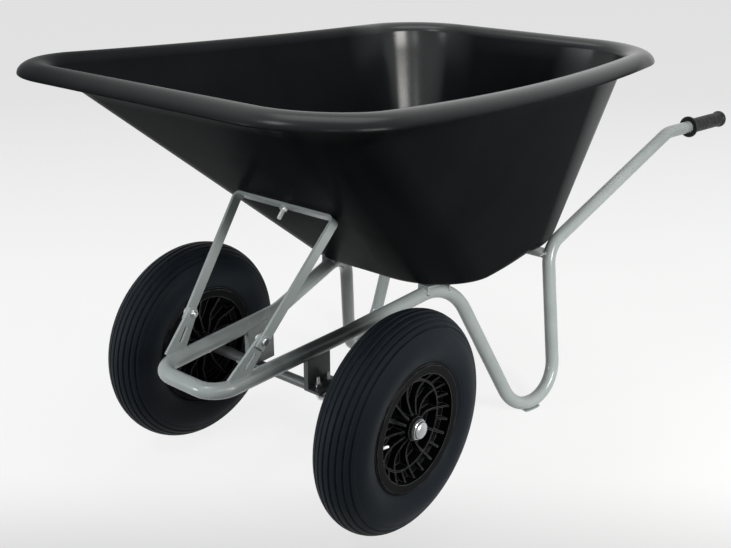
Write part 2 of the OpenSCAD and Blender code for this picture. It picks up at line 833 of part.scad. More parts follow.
module left_tyre()
    color(rubber)
        on_left_wheel()
            rotate_extrude()
                difference() {
                    union() {
                        intersection() {
                            translate([ring_r, 0])
                                circle(r = casing_r);
                            translate([flange_r + flange_gap, -tyre_w])
                                square([tyre_d, 2 * tyre_w]);
                        }
                        translate([axle_h - crown_r, 0])
                            circle(r = crown_r);
                        for (s = [-1, 1])
                            translate([seat_r + seat_gap + (flange_h + 3) / 2,
                                s * ((rim_w - bead_w) / 2 - seat_gap)])
                                square([flange_h + 3, bead_w], center = true);
                    }
                    translate([ring_r, 0])
                        circle(r = casing_r - tyre_wall);
                    for (i = [0:groove_n - 1])
                        translate([axle_h - crown_r, 0])
                            rotate((2 * i / (groove_n - 1) - 1) * tread_turn)
                                translate([crown_r, 0])
                                    square([2 * groove_h, groove_w], center = true);
                }

inner_r = casing_r - tyre_wall - 0.5;
module left_inner_tube()
    color("#1b1b1b")
        on_left_wheel()
            rotate_extrude()
                intersection() {
                    difference() {
                        translate([ring_r, 0])
                            circle(r = inner_r);
                        translate([ring_r, 0])
                            circle(r = inner_r - 3);
                    }
                    translate([seat_r + 1, -tyre_w])
                        square([tyre_d, 2 * tyre_w]);
                }

// Rim: barrel, web, hub and ribs
well_w = 26;
well_h = 8;
rib_dip = 15;
rib_hub = hub_end - 8;
rib_rim = rim_w / 2 - 3;
barrel_r = seat_r - rim_wall;
rib_mid = (hub_d / 2 + barrel_r) / 2;
function rib_edge(r) = r < rib_mid
    ? rib_dip + (rib_hub - rib_dip) * pow((rib_mid - r) / (rib_mid - hub_d / 2), 2)
    : rib_dip + (rib_rim - rib_dip) * pow((r - rib_mid) / (barrel_r - rib_mid), 1.7);
module rib(from, to, edge)
    rotate([90, 0, 0])
        translate([0, 0, -rib_t / 2])
            linear_extrude(rib_t)
                polygon(concat([[from, 0]], edge, [[to, 0]]));

module left_rim() {
    rib_steps = 10;
    root = hub_d / 2 - 2;
    tip = barrel_r + 1;
    out_edge = [for (k = [0:rib_steps]) let (r = root + (tip - root) * k / rib_steps) [r, rib_edge(r)]];
    short_edge = [for (k = [0:4]) let (r = rib_ring_r + (tip - rib_ring_r) * k / 4) [r, rib_edge(r)]];
    in_edge = [[root, -hub_end + 4], [rib_mid, -0.55 * hub_end], [tip, -rib_rim + 4]];
    color(black_plastic)
        on_left_wheel()
            difference() {
                union() {
                    rotate_extrude()
                        polygon([
                            [barrel_r, rim_w / 2 + rim_wall - 1], [flange_r - 3, rim_w / 2 + rim_wall],
                            [flange_r, rim_w / 2 + rim_wall - 2.5], [flange_r, rim_w / 2 + 0.5],
                            [flange_r - 1, rim_w / 2], [seat_r, rim_w / 2],
                            [seat_r, well_w / 2 + well_h], [seat_r - well_h, well_w / 2],
                            [seat_r - well_h, -well_w / 2], [seat_r, -well_w / 2 - well_h],
                            [seat_r, -rim_w / 2], [flange_r - 1, -rim_w / 2],
                            [flange_r, -rim_w / 2 - 0.5], [flange_r, -rim_w / 2 - rim_wall + 2.5],
                            [flange_r - 3, -rim_w / 2 - rim_wall], [barrel_r, -rim_w / 2 - rim_wall + 1],
                            [barrel_r, -well_w / 2 - well_h], [barrel_r - well_h, -well_w / 2],
                            [barrel_r - well_h, well_w / 2], [barrel_r, well_w / 2 + well_h]]);
                    translate([0, 0, -rim_wall / 2])
                        cylinder(r = barrel_r - well_h + 1, h = rim_wall);
                    translate([0, 0, -hub_end])
                        cylinder(d = hub_d, h = hub_l);
                    for (i = [0:rib_n - 1])
                        rotate(i * 360 / rib_n) {
                            rib(root, tip, out_edge);
                            rib(root, tip, in_edge);
                            rotate(180 / rib_n)
                                rib(rib_ring_r, tip, short_edge);
                        }
                    difference() {
                        cylinder(r = rib_ring_r + rib_t / 2, h = rib_edge(rib_ring_r));
                        translate([0, 0, -eps])
                            cylinder(r = rib_ring_r - rib_t / 2, h = rib_edge(rib_ring_r) + 2 * eps);
                    }
                }
                translate([0, 0, -hub_end - eps])
                    cylinder(d = bush_d + 2 * seat_gap, h = hub_l + 2 * eps);
                valve_line()
                    translate([0, 0, -3 * rim_wall])
                        cylinder(r = valve_d / 2 + bolt_gap, h = valve_l + 3 * rim_wall);
            }
}

// Valve: a stem through the barrel, tilted outwards between two ribs
valve_d = 8;
valve_l = 34;
valve_angle = 180 / rib_n * 0.5;
module valve_line()
    rotate(valve_angle)
        translate([seat_r - well_h - rim_wall / 2, 0, 0.2 * well_w + rib_t])
            rotate([0, -60, 0])
                children();

module left_valve()
    color(zinc)
        on_left_wheel()
            valve_line()
                rotate_extrude()
                    polygon([[0, -rim_wall - 4], [valve_d / 2, -rim_wall - 4], [valve_d / 2, 8],
                        [valve_d / 2 - 1, 10], [valve_d / 2 - 1, valve_l - 12],
                        [valve_d / 2 - 0.3, valve_l - 12], [valve_d / 2 - 0.3, valve_l - 1],
                        [valve_d / 2 - 1.3, valve_l], [0, valve_l]]);

module bush()
    color("#2e2f31")
        difference() {
            union() {
                translate([0, 0, -bush_l])
                    cylinder(d = bush_d, h = bush_l);
                translate([0, 0, seat_gap])
                    cylinder(d = bush_d + 10, h = bush_flange - seat_gap);
                cylinder(d = bush_d, h = bush_flange);
            }
            translate([0, 0, -bush_l - eps])
                cylinder(r = axle_r + run_fit, h = bush_l + bush_flange + 2 * eps);
        }

module side_washer()
    color(zinc)
        difference() {
            cylinder(d = bush_d + 8, h = side_washer_t);
            translate([0, 0, -eps])
                cylinder(r = axle_r + seat_gap, h = side_washer_t + 2 * eps);
        }

module left_outer_bush()
    on_left_wheel()
        translate([0, 0, hub_end])
            bush();

module left_inner_bush()
    on_left_wheel()
        translate([0, 0, -hub_end])
            mirror([0, 0, 1])
                bush();

module left_outer_washer()
    on_left_wheel()
        translate([0, 0, washer_out])
            side_washer();

module left_inner_washer()
    on_left_wheel()
        translate([0, 0, -washer_out - side_washer_t])
            side_washer();

// Hub cap: a thin dome pushed on the end of the axle
module left_hub_cap() {
    cap_r = cap_d / 2;
    skirt = 4;
    dome = 7;
    cap_t = 1.5;
    dome_r = (cap_r * cap_r + dome * dome) / (2 * dome);
    color("#e3e6ea")
        on_left_wheel()
            translate([0, 0, cap_base])
                difference() {
                    union() {
                        cylinder(r = cap_r, h = skirt);
                        intersection() {
                            translate([0, 0, skirt + dome - dome_r])
                                sphere(r = dome_r);
                            translate([0, 0, skirt])
                                cylinder(r = cap_r, h = dome);
                        }
                    }
                    translate([0, 0, -eps])
                        cylinder(r = axle_r + seat_gap, h = axle_end - cap_base + seat_gap + eps);
                }
}

module right_side_tube() mirror([0, 1, 0]) left_side_tube();
module right_tray_support() mirror([0, 1, 0]) left_tray_support();
module right_foot_plate() mirror([0, 1, 0]) left_foot_plate();
module right_grip() mirror([0, 1, 0]) left_grip();
module right_stay_bracket() mirror([0, 1, 0]) left_stay_bracket();
module right_axle_hanger() mirror([0, 1, 0]) left_axle_hanger();
module right_tyre() mirror([0, 1, 0]) left_tyre();
module right_inner_tube() mirror([0, 1, 0]) left_inner_tube();
module right_rim() mirror([0, 1, 0]) left_rim();
module right_valve() mirror([0, 1, 0]) left_valve();
module right_outer_bush() mirror([0, 1, 0]) left_outer_bush();
module right_inner_bush() mirror([0, 1, 0]) left_inner_bush();
module right_outer_washer() mirror([0, 1, 0]) left_outer_washer();
module right_inner_washer() mirror([0, 1, 0]) left_inner_washer();
module right_hub_cap() mirror([0, 1, 0]) left_hub_cap();

// The origin lies on the ground under the middle of the whole length
reach_front = rim_front + lip_w;
reach_back = tube_end.x + grip_dir.x * grip_cap - collar_d / 2 * sqrt(1 - grip_dir.x * grip_dir.x);
module place()
    translate([-(reach_front + reach_back) / 2, 0, 0])
        children();

place() tray();
place() nose_bow();
place() left_side_tube();
place() right_side_tube();
place() rear_crossbar();
place() left_tray_support();
place() right_tray_support();
place() left_foot_plate();
place() right_foot_plate();
place() left_grip();
place() right_grip();
place() front_stay();
place() left_stay_bracket();
place() right_stay_bracket();
place() stay_bolts();
place() stay_nuts();
place() stay_tray_bolt();
place() stay_tray_nut();
place() tray_bolts();
place() tray_washers();
place() tray_nuts();
place() axle();
place() left_axle_hanger();
place() right_axle_hanger();
place() axle_clamp_bows();
place() clamp_nuts();
place() axle_pins();
place() left_tyre();
place() left_inner_tube();
place() left_rim();
place() left_valve();
place() left_outer_bush();
place() left_inner_bush();
place() left_outer_washer();
place() left_inner_washer();
place() left_hub_cap();
place() right_tyre();
place() right_inner_tube();
place() right_rim();
place() right_valve();
place() right_outer_bush();
place() right_inner_bush();
place() right_outer_washer();
place() right_inner_washer();
place() right_hub_cap();
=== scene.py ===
# %% [markdown]
# # Two wheel wheelbarrow
# A deep moulded tray rides on a frame of bent tube with two pneumatic wheels in front and two looped legs
# behind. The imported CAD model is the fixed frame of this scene: it gives every solid its place and its size.
# This script adds what the eye needs: light, finishes, and the small forms that a plain solid lacks.

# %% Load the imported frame
import json
import math

import bmesh
import bpy
import numpy as np
from mathutils import Matrix, Vector
from mathutils.bvhtree import BVHTree


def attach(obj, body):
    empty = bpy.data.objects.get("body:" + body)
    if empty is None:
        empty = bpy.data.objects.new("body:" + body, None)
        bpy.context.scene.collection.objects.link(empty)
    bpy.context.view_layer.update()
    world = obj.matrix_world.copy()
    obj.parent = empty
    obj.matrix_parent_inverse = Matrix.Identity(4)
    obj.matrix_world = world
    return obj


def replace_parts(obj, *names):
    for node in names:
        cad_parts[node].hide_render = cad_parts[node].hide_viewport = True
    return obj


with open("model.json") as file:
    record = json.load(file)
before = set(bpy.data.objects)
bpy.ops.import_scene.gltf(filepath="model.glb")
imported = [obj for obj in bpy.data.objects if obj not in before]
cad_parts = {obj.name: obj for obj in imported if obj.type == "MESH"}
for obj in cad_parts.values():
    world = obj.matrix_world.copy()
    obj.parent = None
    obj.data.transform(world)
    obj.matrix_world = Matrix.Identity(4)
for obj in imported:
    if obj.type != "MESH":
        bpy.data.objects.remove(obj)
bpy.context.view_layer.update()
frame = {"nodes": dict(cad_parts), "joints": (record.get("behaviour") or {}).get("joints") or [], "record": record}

nodes = frame["nodes"]
axle_x, wheel_y, axle_z = frame["joints"][0]["pos_m"]
print("solids:", len(nodes), "axle at x =", round(axle_x, 4))

# %% [markdown]
# ## The camera
# The picture was taken from the front left, a little above the rim of the tray. The camera could be moved by
# eye until the outline fits. Here it was worked out from the mirror symmetry of the barrow: two directions
# and one point, measured from the ground below the middle of the axle.

# %% Camera
def axle_point(x, y, z):
    """A place in millimetres from the ground below the axle's middle, as metres in the scene."""
    return Vector((axle_x + x / 1000, y / 1000, z / 1000))


image_width = 731
focal_pixels = 995.45
camera_data = bpy.data.cameras.new("photo_camera")
camera_data.sensor_width = 36.0
camera_data.lens = camera_data.sensor_width * focal_pixels / image_width
camera = bpy.data.objects.new("photo_camera", camera_data)
bpy.context.scene.collection.objects.link(camera)
toward_camera = Vector((0.7208, 0.5828, 0.3752)).normalized()
image_right = Vector((-0.6289, 0.7775, 0.0005))
image_right = (image_right - toward_camera * image_right.dot(toward_camera)).normalized()
image_up = toward_camera.cross(image_right)
camera.matrix_world = Matrix((image_right, image_up, toward_camera)).transposed().to_4x4()
camera.location = axle_point(1187.5, 1142.9, 1071.1)
bpy.context.scene.camera = camera
print("camera", [round(v, 3) for v in camera.location], "lens", round(camera_data.lens, 2))

# %% [markdown]
# ## Drawing with nodes
# A finish is a small graph of shader nodes. Placing and wiring each node takes several lines, so one helper
# does both: a plain number goes into the socket, and another node's output is linked to it. A Mix node has a
# socket of the same name for every kind of value, so its colour sockets are picked by number.

# %% Node helpers
mix_factor, mix_below, mix_above, mix_result = 0, 6, 7, 2


def add_node(tree, kind, sockets=None, **settings):
    """Add a shader node, set its options, and fill or link its input sockets."""
    made = tree.nodes.new(kind)
    for label, value in settings.items():
        setattr(made, label, value)
    for label, value in (sockets or {}).items():
        if isinstance(value, bpy.types.NodeSocket):
            tree.links.new(value, made.inputs[label])
        else:
            made.inputs[label].default_value = value
    return made


def calc(tree, operation, *values, clamp=False):
    """One Math node; returns its output."""
    sockets = dict(enumerate(values))
    return add_node(tree, "ShaderNodeMath", sockets, operation=operation, use_clamp=clamp).outputs[0]


def remap(tree, value, low, high, to_low=0.0, to_high=1.0, **settings):
    """Stretch a value from one range to another; returns the output."""
    sockets = {"Value": value, "From Min": low, "From Max": high, "To Min": to_low, "To Max": to_high}
    return add_node(tree, "ShaderNodeMapRange", sockets, **settings).outputs["Result"]


def mix_colour(tree, mask, below, above):
    """Mix two colours by a mask; returns the output."""
    sockets = {mix_factor: mask, mix_below: below, mix_above: above}
    return add_node(tree, "ShaderNodeMix", sockets, data_type="RGBA").outputs[mix_result]


def blank_tree(owner):
    """The emptied node tree of a material or a world."""
    owner.use_nodes = True
    owner.node_tree.nodes.clear()
    return owner.node_tree


def vector_parts(tree, kind, output):
    """The X, Y and Z outputs of a vector that a texture coordinate or geometry node gives."""
    vector = add_node(tree, kind).outputs[output]
    return add_node(tree, "ShaderNodeSeparateXYZ", {0: vector}).outputs


# %% [markdown]
# ## Floor
# The barrow stands in a white studio. The floor is a real plane, so that it takes a soft shadow. To the
# camera it is white by its own light, which Light Path limits to what looks at it, so it doesn't light the
# barrow from below. In front and behind, the glow is dimmed by a painted shade, like light falling off on
# studio paper, and it rises far off, where it meets the backdrop.

# %% Floor
def seen_directly(tree):
    """1 for what the camera, a mirror or a glass sees, 0 for light on its way to other surfaces."""
    path = add_node(tree, "ShaderNodeLightPath")
    mirror = calc(tree, "MAXIMUM", path.outputs["Is Glossy Ray"], path.outputs["Is Transmission Ray"])
    return calc(tree, "MAXIMUM", path.outputs["Is Camera Ray"], mirror)


def studio_sheet(name, corners, material):
    """A flat sheet between four corners, in metres, that belongs to the studio and not to the barrow."""
    mesh = bpy.data.meshes.new(name)
    mesh.from_pydata(corners, [], [(0, 1, 2, 3)])
    mesh.materials.append(material)
    sheet = bpy.data.objects.new(name, mesh)
    bpy.context.scene.collection.objects.link(sheet)
    return sheet


floor_half = 20.0
floor_colour = (0.15, 0.15, 0.149, 1)
full_glow = 0.83
toward_viewer = (0.78, 0.63, 0.0)
floor_white = bpy.data.materials.new("floor_white")
tree = blank_tree(floor_white)
spot = add_node(tree, "ShaderNodeTexCoord").outputs["Object"]
nearer = add_node(tree, "ShaderNodeVectorMath", {0: spot, 1: toward_viewer}, operation="DOT_PRODUCT")
# Painted shade: the floor's glow is dimmed towards the viewer and behind the barrow.
front_painted_shade = remap(tree, nearer.outputs["Value"], 0.36, 0.75, 0.0, 0.25, interpolation_type="SMOOTHSTEP")
back_painted_shade = remap(tree, nearer.outputs["Value"], -0.6, -3.0, 0.0, 0.1)
distance = add_node(tree, "ShaderNodeVectorMath", {0: spot}, operation="LENGTH")
far_rise = remap(tree, distance.outputs["Value"], 8.0, 17.0, 0.0, 0.36)
glow = calc(tree, "SUBTRACT", full_glow, calc(tree, "ADD", front_painted_shade, back_painted_shade))
glow = calc(tree, "ADD", glow, far_rise)
glow = calc(tree, "MULTIPLY", seen_directly(tree), glow)
floor_matt = add_node(tree, "ShaderNodeBsdfDiffuse", {"Color": floor_colour})
floor_glow = add_node(tree, "ShaderNodeEmission", {"Color": (1, 1, 1, 1), "Strength": glow})
floor_both = add_node(tree, "ShaderNodeAddShader", {0: floor_matt.outputs[0], 1: floor_glow.outputs[0]})
add_node(tree, "ShaderNodeOutputMaterial", {"Surface": floor_both.outputs[0]})
floor_corners = [(x * floor_half, y * floor_half, 0) for x, y in ((-1, -1), (1, -1), (1, 1), (-1, 1))]
studio_sheet("studio_floor", floor_corners, floor_white)
print("floor:", 2 * floor_half, "m square")

# %% [markdown]
# ## Backdrop
# Behind the floor the studio is plain white. A second plane could stand there, but the world does it for
# every angle. It lights the barrow only weakly, so that the lamps draw the form. The Standard view keeps each
# colour about as it is written.

# %% Backdrop
world_light, world_seen = 0.12, 1.0
world = bpy.data.worlds.new("studio_world")
bpy.context.scene.world = world
tree = blank_tree(world)
strength = remap(tree, seen_directly(tree), 0.0, 1.0, world_light, world_seen)
backdrop = add_node(tree, "ShaderNodeBackground", {"Color": (1, 1, 1, 1), "Strength": strength})
add_node(tree, "ShaderNodeOutputWorld", {"Surface": backdrop.outputs[0]})
bpy.context.scene.view_settings.view_transform = "Standard"
print("world:", world_light, "as light,", world_seen, "as seen")

# %% [markdown]
# ## Lamps
# A black tray shows its form only by what it reflects, so the lamps are broad soft boxes; points would give
# hard shadows and tiny glints. The key lights the near side, one box hangs above the tray and one above the
# nose, a small one stands by the camera, and a low one ahead catches the tread.

# %% Lamps
def softbox(name, place, target, width, height, power, colour=(1, 1, 1)):
    """A large area lamp at a place, turned towards a target; places in metres, power in watts."""
    data = bpy.data.lights.new(name, "AREA")
    data.shape = "RECTANGLE"
    data.size = width
    data.size_y = height
    data.energy = power
    data.color = colour
    lamp = bpy.data.objects.new(name, data)
    lamp.location = place
    lamp.rotation_euler = (Vector(target) - Vector(place)).to_track_quat("-Z", "Y").to_euler()
    bpy.context.scene.collection.objects.link(lamp)


barrow_middle = (0.0, 0.0, 0.45)
nose_middle = (0.6, 0.0, 0.35)
tread_middle = (0.6, 0.0, 0.3)
warm_white, cool_white = (1.0, 0.985, 0.955), (0.96, 0.99, 1.0)
softbox("key_softbox", (0.6, 3.1, 1.35), barrow_middle, 1.3, 1.3, 158, warm_white)
softbox("top_softbox", (-0.3, -0.2, 3.2), barrow_middle, 2.0, 1.6, 24)
softbox("nose_softbox", (2.3, -0.3, 3.3), nose_middle, 0.8, 0.8, 25, cool_white)
softbox("camera_softbox", (1.9, 1.9, 1.6), barrow_middle, 0.4, 0.5, 6)
softbox("tread_softbox", (3.2, -1.4, 0.8), tread_middle, 0.8, 0.8, 40, cool_white)

# %% [markdown]
# ## Flags
# A flag is a black sheet that keeps a lamp off one part of the subject. The nose of the frame and the near
# handle are darker than the legs. A weaker key would darken everything, so two flags stand between the key
# and those two places. Neither the camera nor a reflection sees them.

# %% Flags
flag_y = 1.6
flag_black = bpy.data.materials.new("flag_black")
flag_black.use_nodes = True
flag_black.node_tree.nodes["Principled BSDF"].inputs["Base Color"].default_value = (0.02, 0.02, 0.02, 1)
for name, left, right, low, high in (("front_flag", 0.42, 1.4, 0.0, 1.14),
                                     ("handle_flag", -0.75, 0.16, 0.74, 1.5)):
    corners = [(x, flag_y, z) for x, z in ((left, low), (right, low), (right, high), (left, high))]
    flag = studio_sheet(name, corners, flag_black)
    flag.visible_camera = False
    flag.visible_glossy = False
    print(name, "from x =", left, "to", right)

# %% [markdown]
# ## Mottle
# No moulded, painted or plated surface is quite even. Mottle gives a broad noise for patches of colour and
# gloss and a fine one for grain. Every finish uses it at another scale, so it is a node group with named
# sockets: one drawing serves all, and each material sets its own values.

# %% Mottle group
def new_group(name, inputs, outputs):
    """An empty shader node group with its sockets; returns the group, its input node and its output node."""
    group = bpy.data.node_groups.new(name, "ShaderNodeTree")
    for label, value in inputs.items():
        socket = group.interface.new_socket(label, in_out="INPUT", socket_type="NodeSocketFloat")
        socket.default_value = value
    for label in outputs:
        group.interface.new_socket(label, in_out="OUTPUT", socket_type="NodeSocketFloat")
    return group, group.nodes.new("NodeGroupInput"), group.nodes.new("NodeGroupOutput")


def noise(tree, scale, detail, **sockets):
    """The value of a noise texture that stays with the object."""
    place = add_node(tree, "ShaderNodeTexCoord").outputs["Object"]
    sockets.update({"Vector": place, "Scale": scale, "Detail": detail})
    return add_node(tree, "ShaderNodeTexNoise", sockets).outputs["Fac"]


mottle, given, result = new_group("mottle", {"Patch Scale": 12.0, "Grain Scale": 400.0}, ["Patch", "Grain"])
patch = noise(mottle, given.outputs["Patch Scale"], 5.0, Roughness=0.6)
grain = noise(mottle, given.outputs["Grain Scale"], 2.0)
mottle.links.new(remap(mottle, patch, 0.3, 0.7), result.inputs["Patch"])
mottle.links.new(remap(mottle, grain, 0.25, 0.75), result.inputs["Grain"])
print(mottle.name, len(mottle.nodes), "nodes")

# %% [markdown]
# ## Worn edges and painted highlights
# Paint thins and plastic goes pale where edges rub. The edges could be painted by hand as a mask. A Bevel
# node finds them instead: it gives a rounded normal, and where that differs from the true one there is an
# edge. A noise breaks the line up, and Least keeps some of it everywhere. On rims and grips the same mask
# paints a highlight along the edges.

# %% Edge wear and highlight group
edge_group_inputs = {"Radius": 0.002, "Amount": 1.0, "Break Scale": 90.0, "Least": 0.0}
edge_wear_and_highlight, given, result = new_group("edge_wear_and_highlight", edge_group_inputs, ["Mask"])
rounded = add_node(edge_wear_and_highlight, "ShaderNodeBevel", {"Radius": given.outputs["Radius"]}, samples=4).outputs[0]
true_normal = add_node(edge_wear_and_highlight, "ShaderNodeNewGeometry").outputs["True Normal"]
agreement = add_node(edge_wear_and_highlight, "ShaderNodeVectorMath", {0: rounded, 1: true_normal}, operation="DOT_PRODUCT")
sharp_edge = remap(edge_wear_and_highlight, agreement.outputs["Value"], 0.975, 0.84)
breaks = noise(edge_wear_and_highlight, given.outputs["Break Scale"], 4.0)
broken = remap(edge_wear_and_highlight, breaks, 0.42, 0.6, given.outputs["Least"], 1.0)
wear_and_highlight = calc(edge_wear_and_highlight, "MULTIPLY", sharp_edge, broken)
wear_and_highlight = calc(edge_wear_and_highlight, "MULTIPLY", wear_and_highlight, given.outputs["Amount"], clamp=True)
edge_wear_and_highlight.links.new(wear_and_highlight, result.inputs["Mask"])
print(edge_wear_and_highlight.name, len(edge_wear_and_highlight.nodes), "nodes")

# %% [markdown]
# ## Dust and painted sheen
# Dust lies on what faces up and slides off what is steep, and where it is kept to the top of the tray's lip it
# is also a painted sheen. The mask is the upward part of the normal, cut off at the steepest slope that still
# holds dust, times a cloudy noise.

# %% Dust and sheen group
dust_and_sheen, given, result = new_group("dust_and_sheen", {"Amount": 0.3, "Patch Scale": 9.0, "Steepest": 0.2}, ["Mask"])
upward = vector_parts(dust_and_sheen, "ShaderNodeNewGeometry", "Normal")["Z"]
level = remap(dust_and_sheen, upward, given.outputs["Steepest"], 1.0)
cloud = noise(dust_and_sheen, given.outputs["Patch Scale"], 6.0, Roughness=0.7)
lying = calc(dust_and_sheen, "MULTIPLY", level, remap(dust_and_sheen, cloud, 0.2, 0.8))
lying = calc(dust_and_sheen, "MULTIPLY", lying, given.outputs["Amount"], clamp=True)
dust_and_sheen.links.new(lying, result.inputs["Mask"])
print(dust_and_sheen.name, len(dust_and_sheen.nodes), "nodes")

# %% [markdown]
# ## Materials
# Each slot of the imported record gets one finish. They all begin with the mottle and end in a Principled
# shader: the graph gives it a colour, a roughness and a bump that change over the surface, and everything
# that is the same all over is written into the shader itself.

# %% Material helpers
finishes = {}


def use_group(tree, group, **values):
    """Place a node group with its own values; returns its outputs."""
    made = add_node(tree, "ShaderNodeGroup", node_tree=group)
    for label, value in values.items():
        made.inputs[label.replace("_", " ")].default_value = value
    return made.outputs


def new_finish(slot, dark, pale, patch_scale, grain_scale, relief, **constants):
    """A material of two tones in patches over a grain; returns its tree, shader, patches and colour.

    The relief is the grain's strength and its depth in metres. Constants fill the shader's other sockets."""
    material = bpy.data.materials.new(slot)
    tree = blank_tree(material)
    sockets = {label.replace("_", " "): value for label, value in constants.items()}
    shader = add_node(tree, "ShaderNodeBsdfPrincipled", sockets)
    add_node(tree, "ShaderNodeOutputMaterial", {"Surface": shader.outputs[0]})
    spots = use_group(tree, mottle, Patch_Scale=patch_scale, Grain_Scale=grain_scale)
    sockets = {"Height": spots["Grain"], "Strength": relief[0], "Distance": relief[1]}
    grain = add_node(tree, "ShaderNodeBump", sockets)
    tree.links.new(grain.outputs[0], shader.inputs["Normal"])
    finishes[slot] = material
    print("finish:", slot)
    return tree, shader, spots["Patch"], mix_colour(tree, spots["Patch"], dark, pale)


def feed(tree, shader, colour, roughness):
    """Link the changing colour and roughness to the shader."""
    tree.links.new(colour, shader.inputs["Base Color"])
    tree.links.new(roughness, shader.inputs["Roughness"])


# %% [markdown]
# ## Tray plastic
# The tray is black plastic, nearly matt, with a fine grain from the mould and a trace of dust, which on the
# lip's top also paints a faint sheen. One colour all over would look cut from paper, so colour and roughness
# drift in patches, and the edges go a little pale.

# %% Tray plastic
tray_dark, tray_pale = (0.0068, 0.008, 0.0092, 1), (0.0105, 0.0117, 0.0126, 1)
tree, shader, patch, colour = new_finish("tray_plastic", tray_dark, tray_pale, 5.0, 900.0, (0.12, 0.0004),
                                         Specular_IOR_Level=0.0015, Coat_Roughness=0.26)
wear_and_highlight = use_group(tree, edge_wear_and_highlight, Radius=0.004, Amount=0.5, Break_Scale=60.0)["Mask"]
# Dust and a painted sheen: the top of the lip is painted paler.
dust_and_lip_sheen = use_group(tree, dust_and_sheen, Amount=0.08, Patch_Scale=7.0, Steepest=0.3)["Mask"]
colour = mix_colour(tree, wear_and_highlight, colour, (0.04, 0.039, 0.037, 1))
colour = mix_colour(tree, dust_and_lip_sheen, colour, (0.085, 0.084, 0.079, 1))
smooth = remap(tree, patch, 0, 1, 0.2, 0.28)
feed(tree, shader, colour, calc(tree, "ADD", smooth, calc(tree, "MULTIPLY", dust_and_lip_sheen, 0.4)))

# %% [markdown]
# ## Polish on the tray
# Hands and loads polish the top of the lip, most of all on the side where the barrow is filled, and the round
# rear corners shine inside. A clear coat gives that polish. Its weight is a mask of place and slope: high and
# facing up for the lip, far back and out to the side for the corners.

# %% Polish on the tray
corner_polish = 0.7
spot = vector_parts(tree, "ShaderNodeTexCoord", "Object")
normal = vector_parts(tree, "ShaderNodeNewGeometry", "Normal")
on_lip = calc(tree, "MULTIPLY", remap(tree, spot["Z"], 0.69, 0.72), remap(tree, normal["Z"], 0.1, 0.8))
on_lip = calc(tree, "MULTIPLY", on_lip, remap(tree, normal["Y"], 0.6, -0.1, 0.55, 1.0))
filling_side = calc(tree, "SUBTRACT", spot["Y"], calc(tree, "MULTIPLY", spot["X"], 0.35))
handled = remap(tree, filling_side, -0.55, 0.45, 0.02, 1.0)
sideways = remap(tree, calc(tree, "ABSOLUTE", spot["Y"]), 0.1, 0.2)
in_corner = calc(tree, "MULTIPLY", remap(tree, spot["X"], -0.08, -0.18), sideways)
in_corner = calc(tree, "MULTIPLY", in_corner, corner_polish)
polished = calc(tree, "MAXIMUM", calc(tree, "MULTIPLY", on_lip, handled), in_corner)
tree.links.new(polished, shader.inputs["Coat Weight"])
print("tray plastic:", len(tree.nodes), "nodes")

# %% [markdown]
# ## Frame paint
# The tubes have a pale grey-green coat, smooth and half glossy, chipped dark along the plates' edges. Beside
# the wheels the rail is darkened by a painted shade. A second material for the shaded stretch would end in
# a line, so the painted shade is a mask of the place in the barrow that fades out on all sides.

# %% Frame paint
frame_dark, frame_pale = (0.352, 0.4, 0.396, 1), (0.408, 0.45, 0.443, 1)
tree, shader, patch, colour = new_finish("frame_paint", frame_dark, frame_pale, 14.0, 420.0, (0.15, 0.0003),
                                         Specular_IOR_Level=0.4)
wear_and_highlight = use_group(tree, edge_wear_and_highlight, Radius=0.0015, Amount=0.7, Break_Scale=120.0)["Mask"]
spot = vector_parts(tree, "ShaderNodeNewGeometry", "Position")
# Painted shade: beside the wheels the rail and hangers are painted dark, where tyres and tray shadow them.
shade_span_by_wheels = calc(tree, "MINIMUM", remap(tree, spot["X"], 0.29, 0.38), remap(tree, spot["X"], 0.64, 0.5))
painted_wheel_shade = calc(tree, "MULTIPLY", shade_span_by_wheels, remap(tree, spot["Z"], 0.37, 0.32))
painted_wheel_shade = calc(tree, "MULTIPLY", painted_wheel_shade, remap(tree, spot["Y"], -0.09, 0.05, 0.3, 0.86))
painted_wheel_shade = calc(tree, "MULTIPLY", painted_wheel_shade, remap(tree, patch, 0.0, 1.0, 1.1, 0.85), clamp=True)
colour = mix_colour(tree, wear_and_highlight, colour, (0.16, 0.155, 0.15, 1))
colour = mix_colour(tree, painted_wheel_shade, colour, (0.032, 0.037, 0.037, 1))
smooth = remap(tree, patch, 0, 1, 0.15, 0.23)
feed(tree, shader, colour, calc(tree, "ADD", smooth, calc(tree, "MULTIPLY", painted_wheel_shade, 0.2)))

# %% [markdown]
# ## Tyre and tube rubber
# Rubber is black with a blue cast, dull, and paler where the ribs have rubbed on the road. Both rubbers are
# the same graph with other colours, so a loop makes them.

# %% Tyre and tube rubber
for slot, dark, pale in (("tyre_rubber", (0.006, 0.0092, 0.0132, 1), (0.0095, 0.0134, 0.018, 1)),
                         ("tube_rubber", (0.008, 0.008, 0.008, 1), (0.014, 0.014, 0.014, 1))):
    tree, shader, patch, colour = new_finish(slot, dark, pale, 22.0, 1200.0, (0.2, 0.0003),
                                             Specular_IOR_Level=0.1)
    wear_and_highlight = use_group(tree, edge_wear_and_highlight, Radius=0.0015, Amount=0.6, Break_Scale=80.0)["Mask"]
    colour = mix_colour(tree, wear_and_highlight, colour, (0.05, 0.052, 0.055, 1))
    feed(tree, shader, colour, remap(tree, patch, 0, 1, 0.5, 0.64))

# %% [markdown]
# ## Black mouldings
# Rims and grips are hard black plastic. Their ribs would vanish in the dark, so a painted highlight, with a
# little scuffing, draws every rib edge as a fine pale line. So the edge mask is strong here and never quite
# breaks off, and a second stretch makes the line crisp.

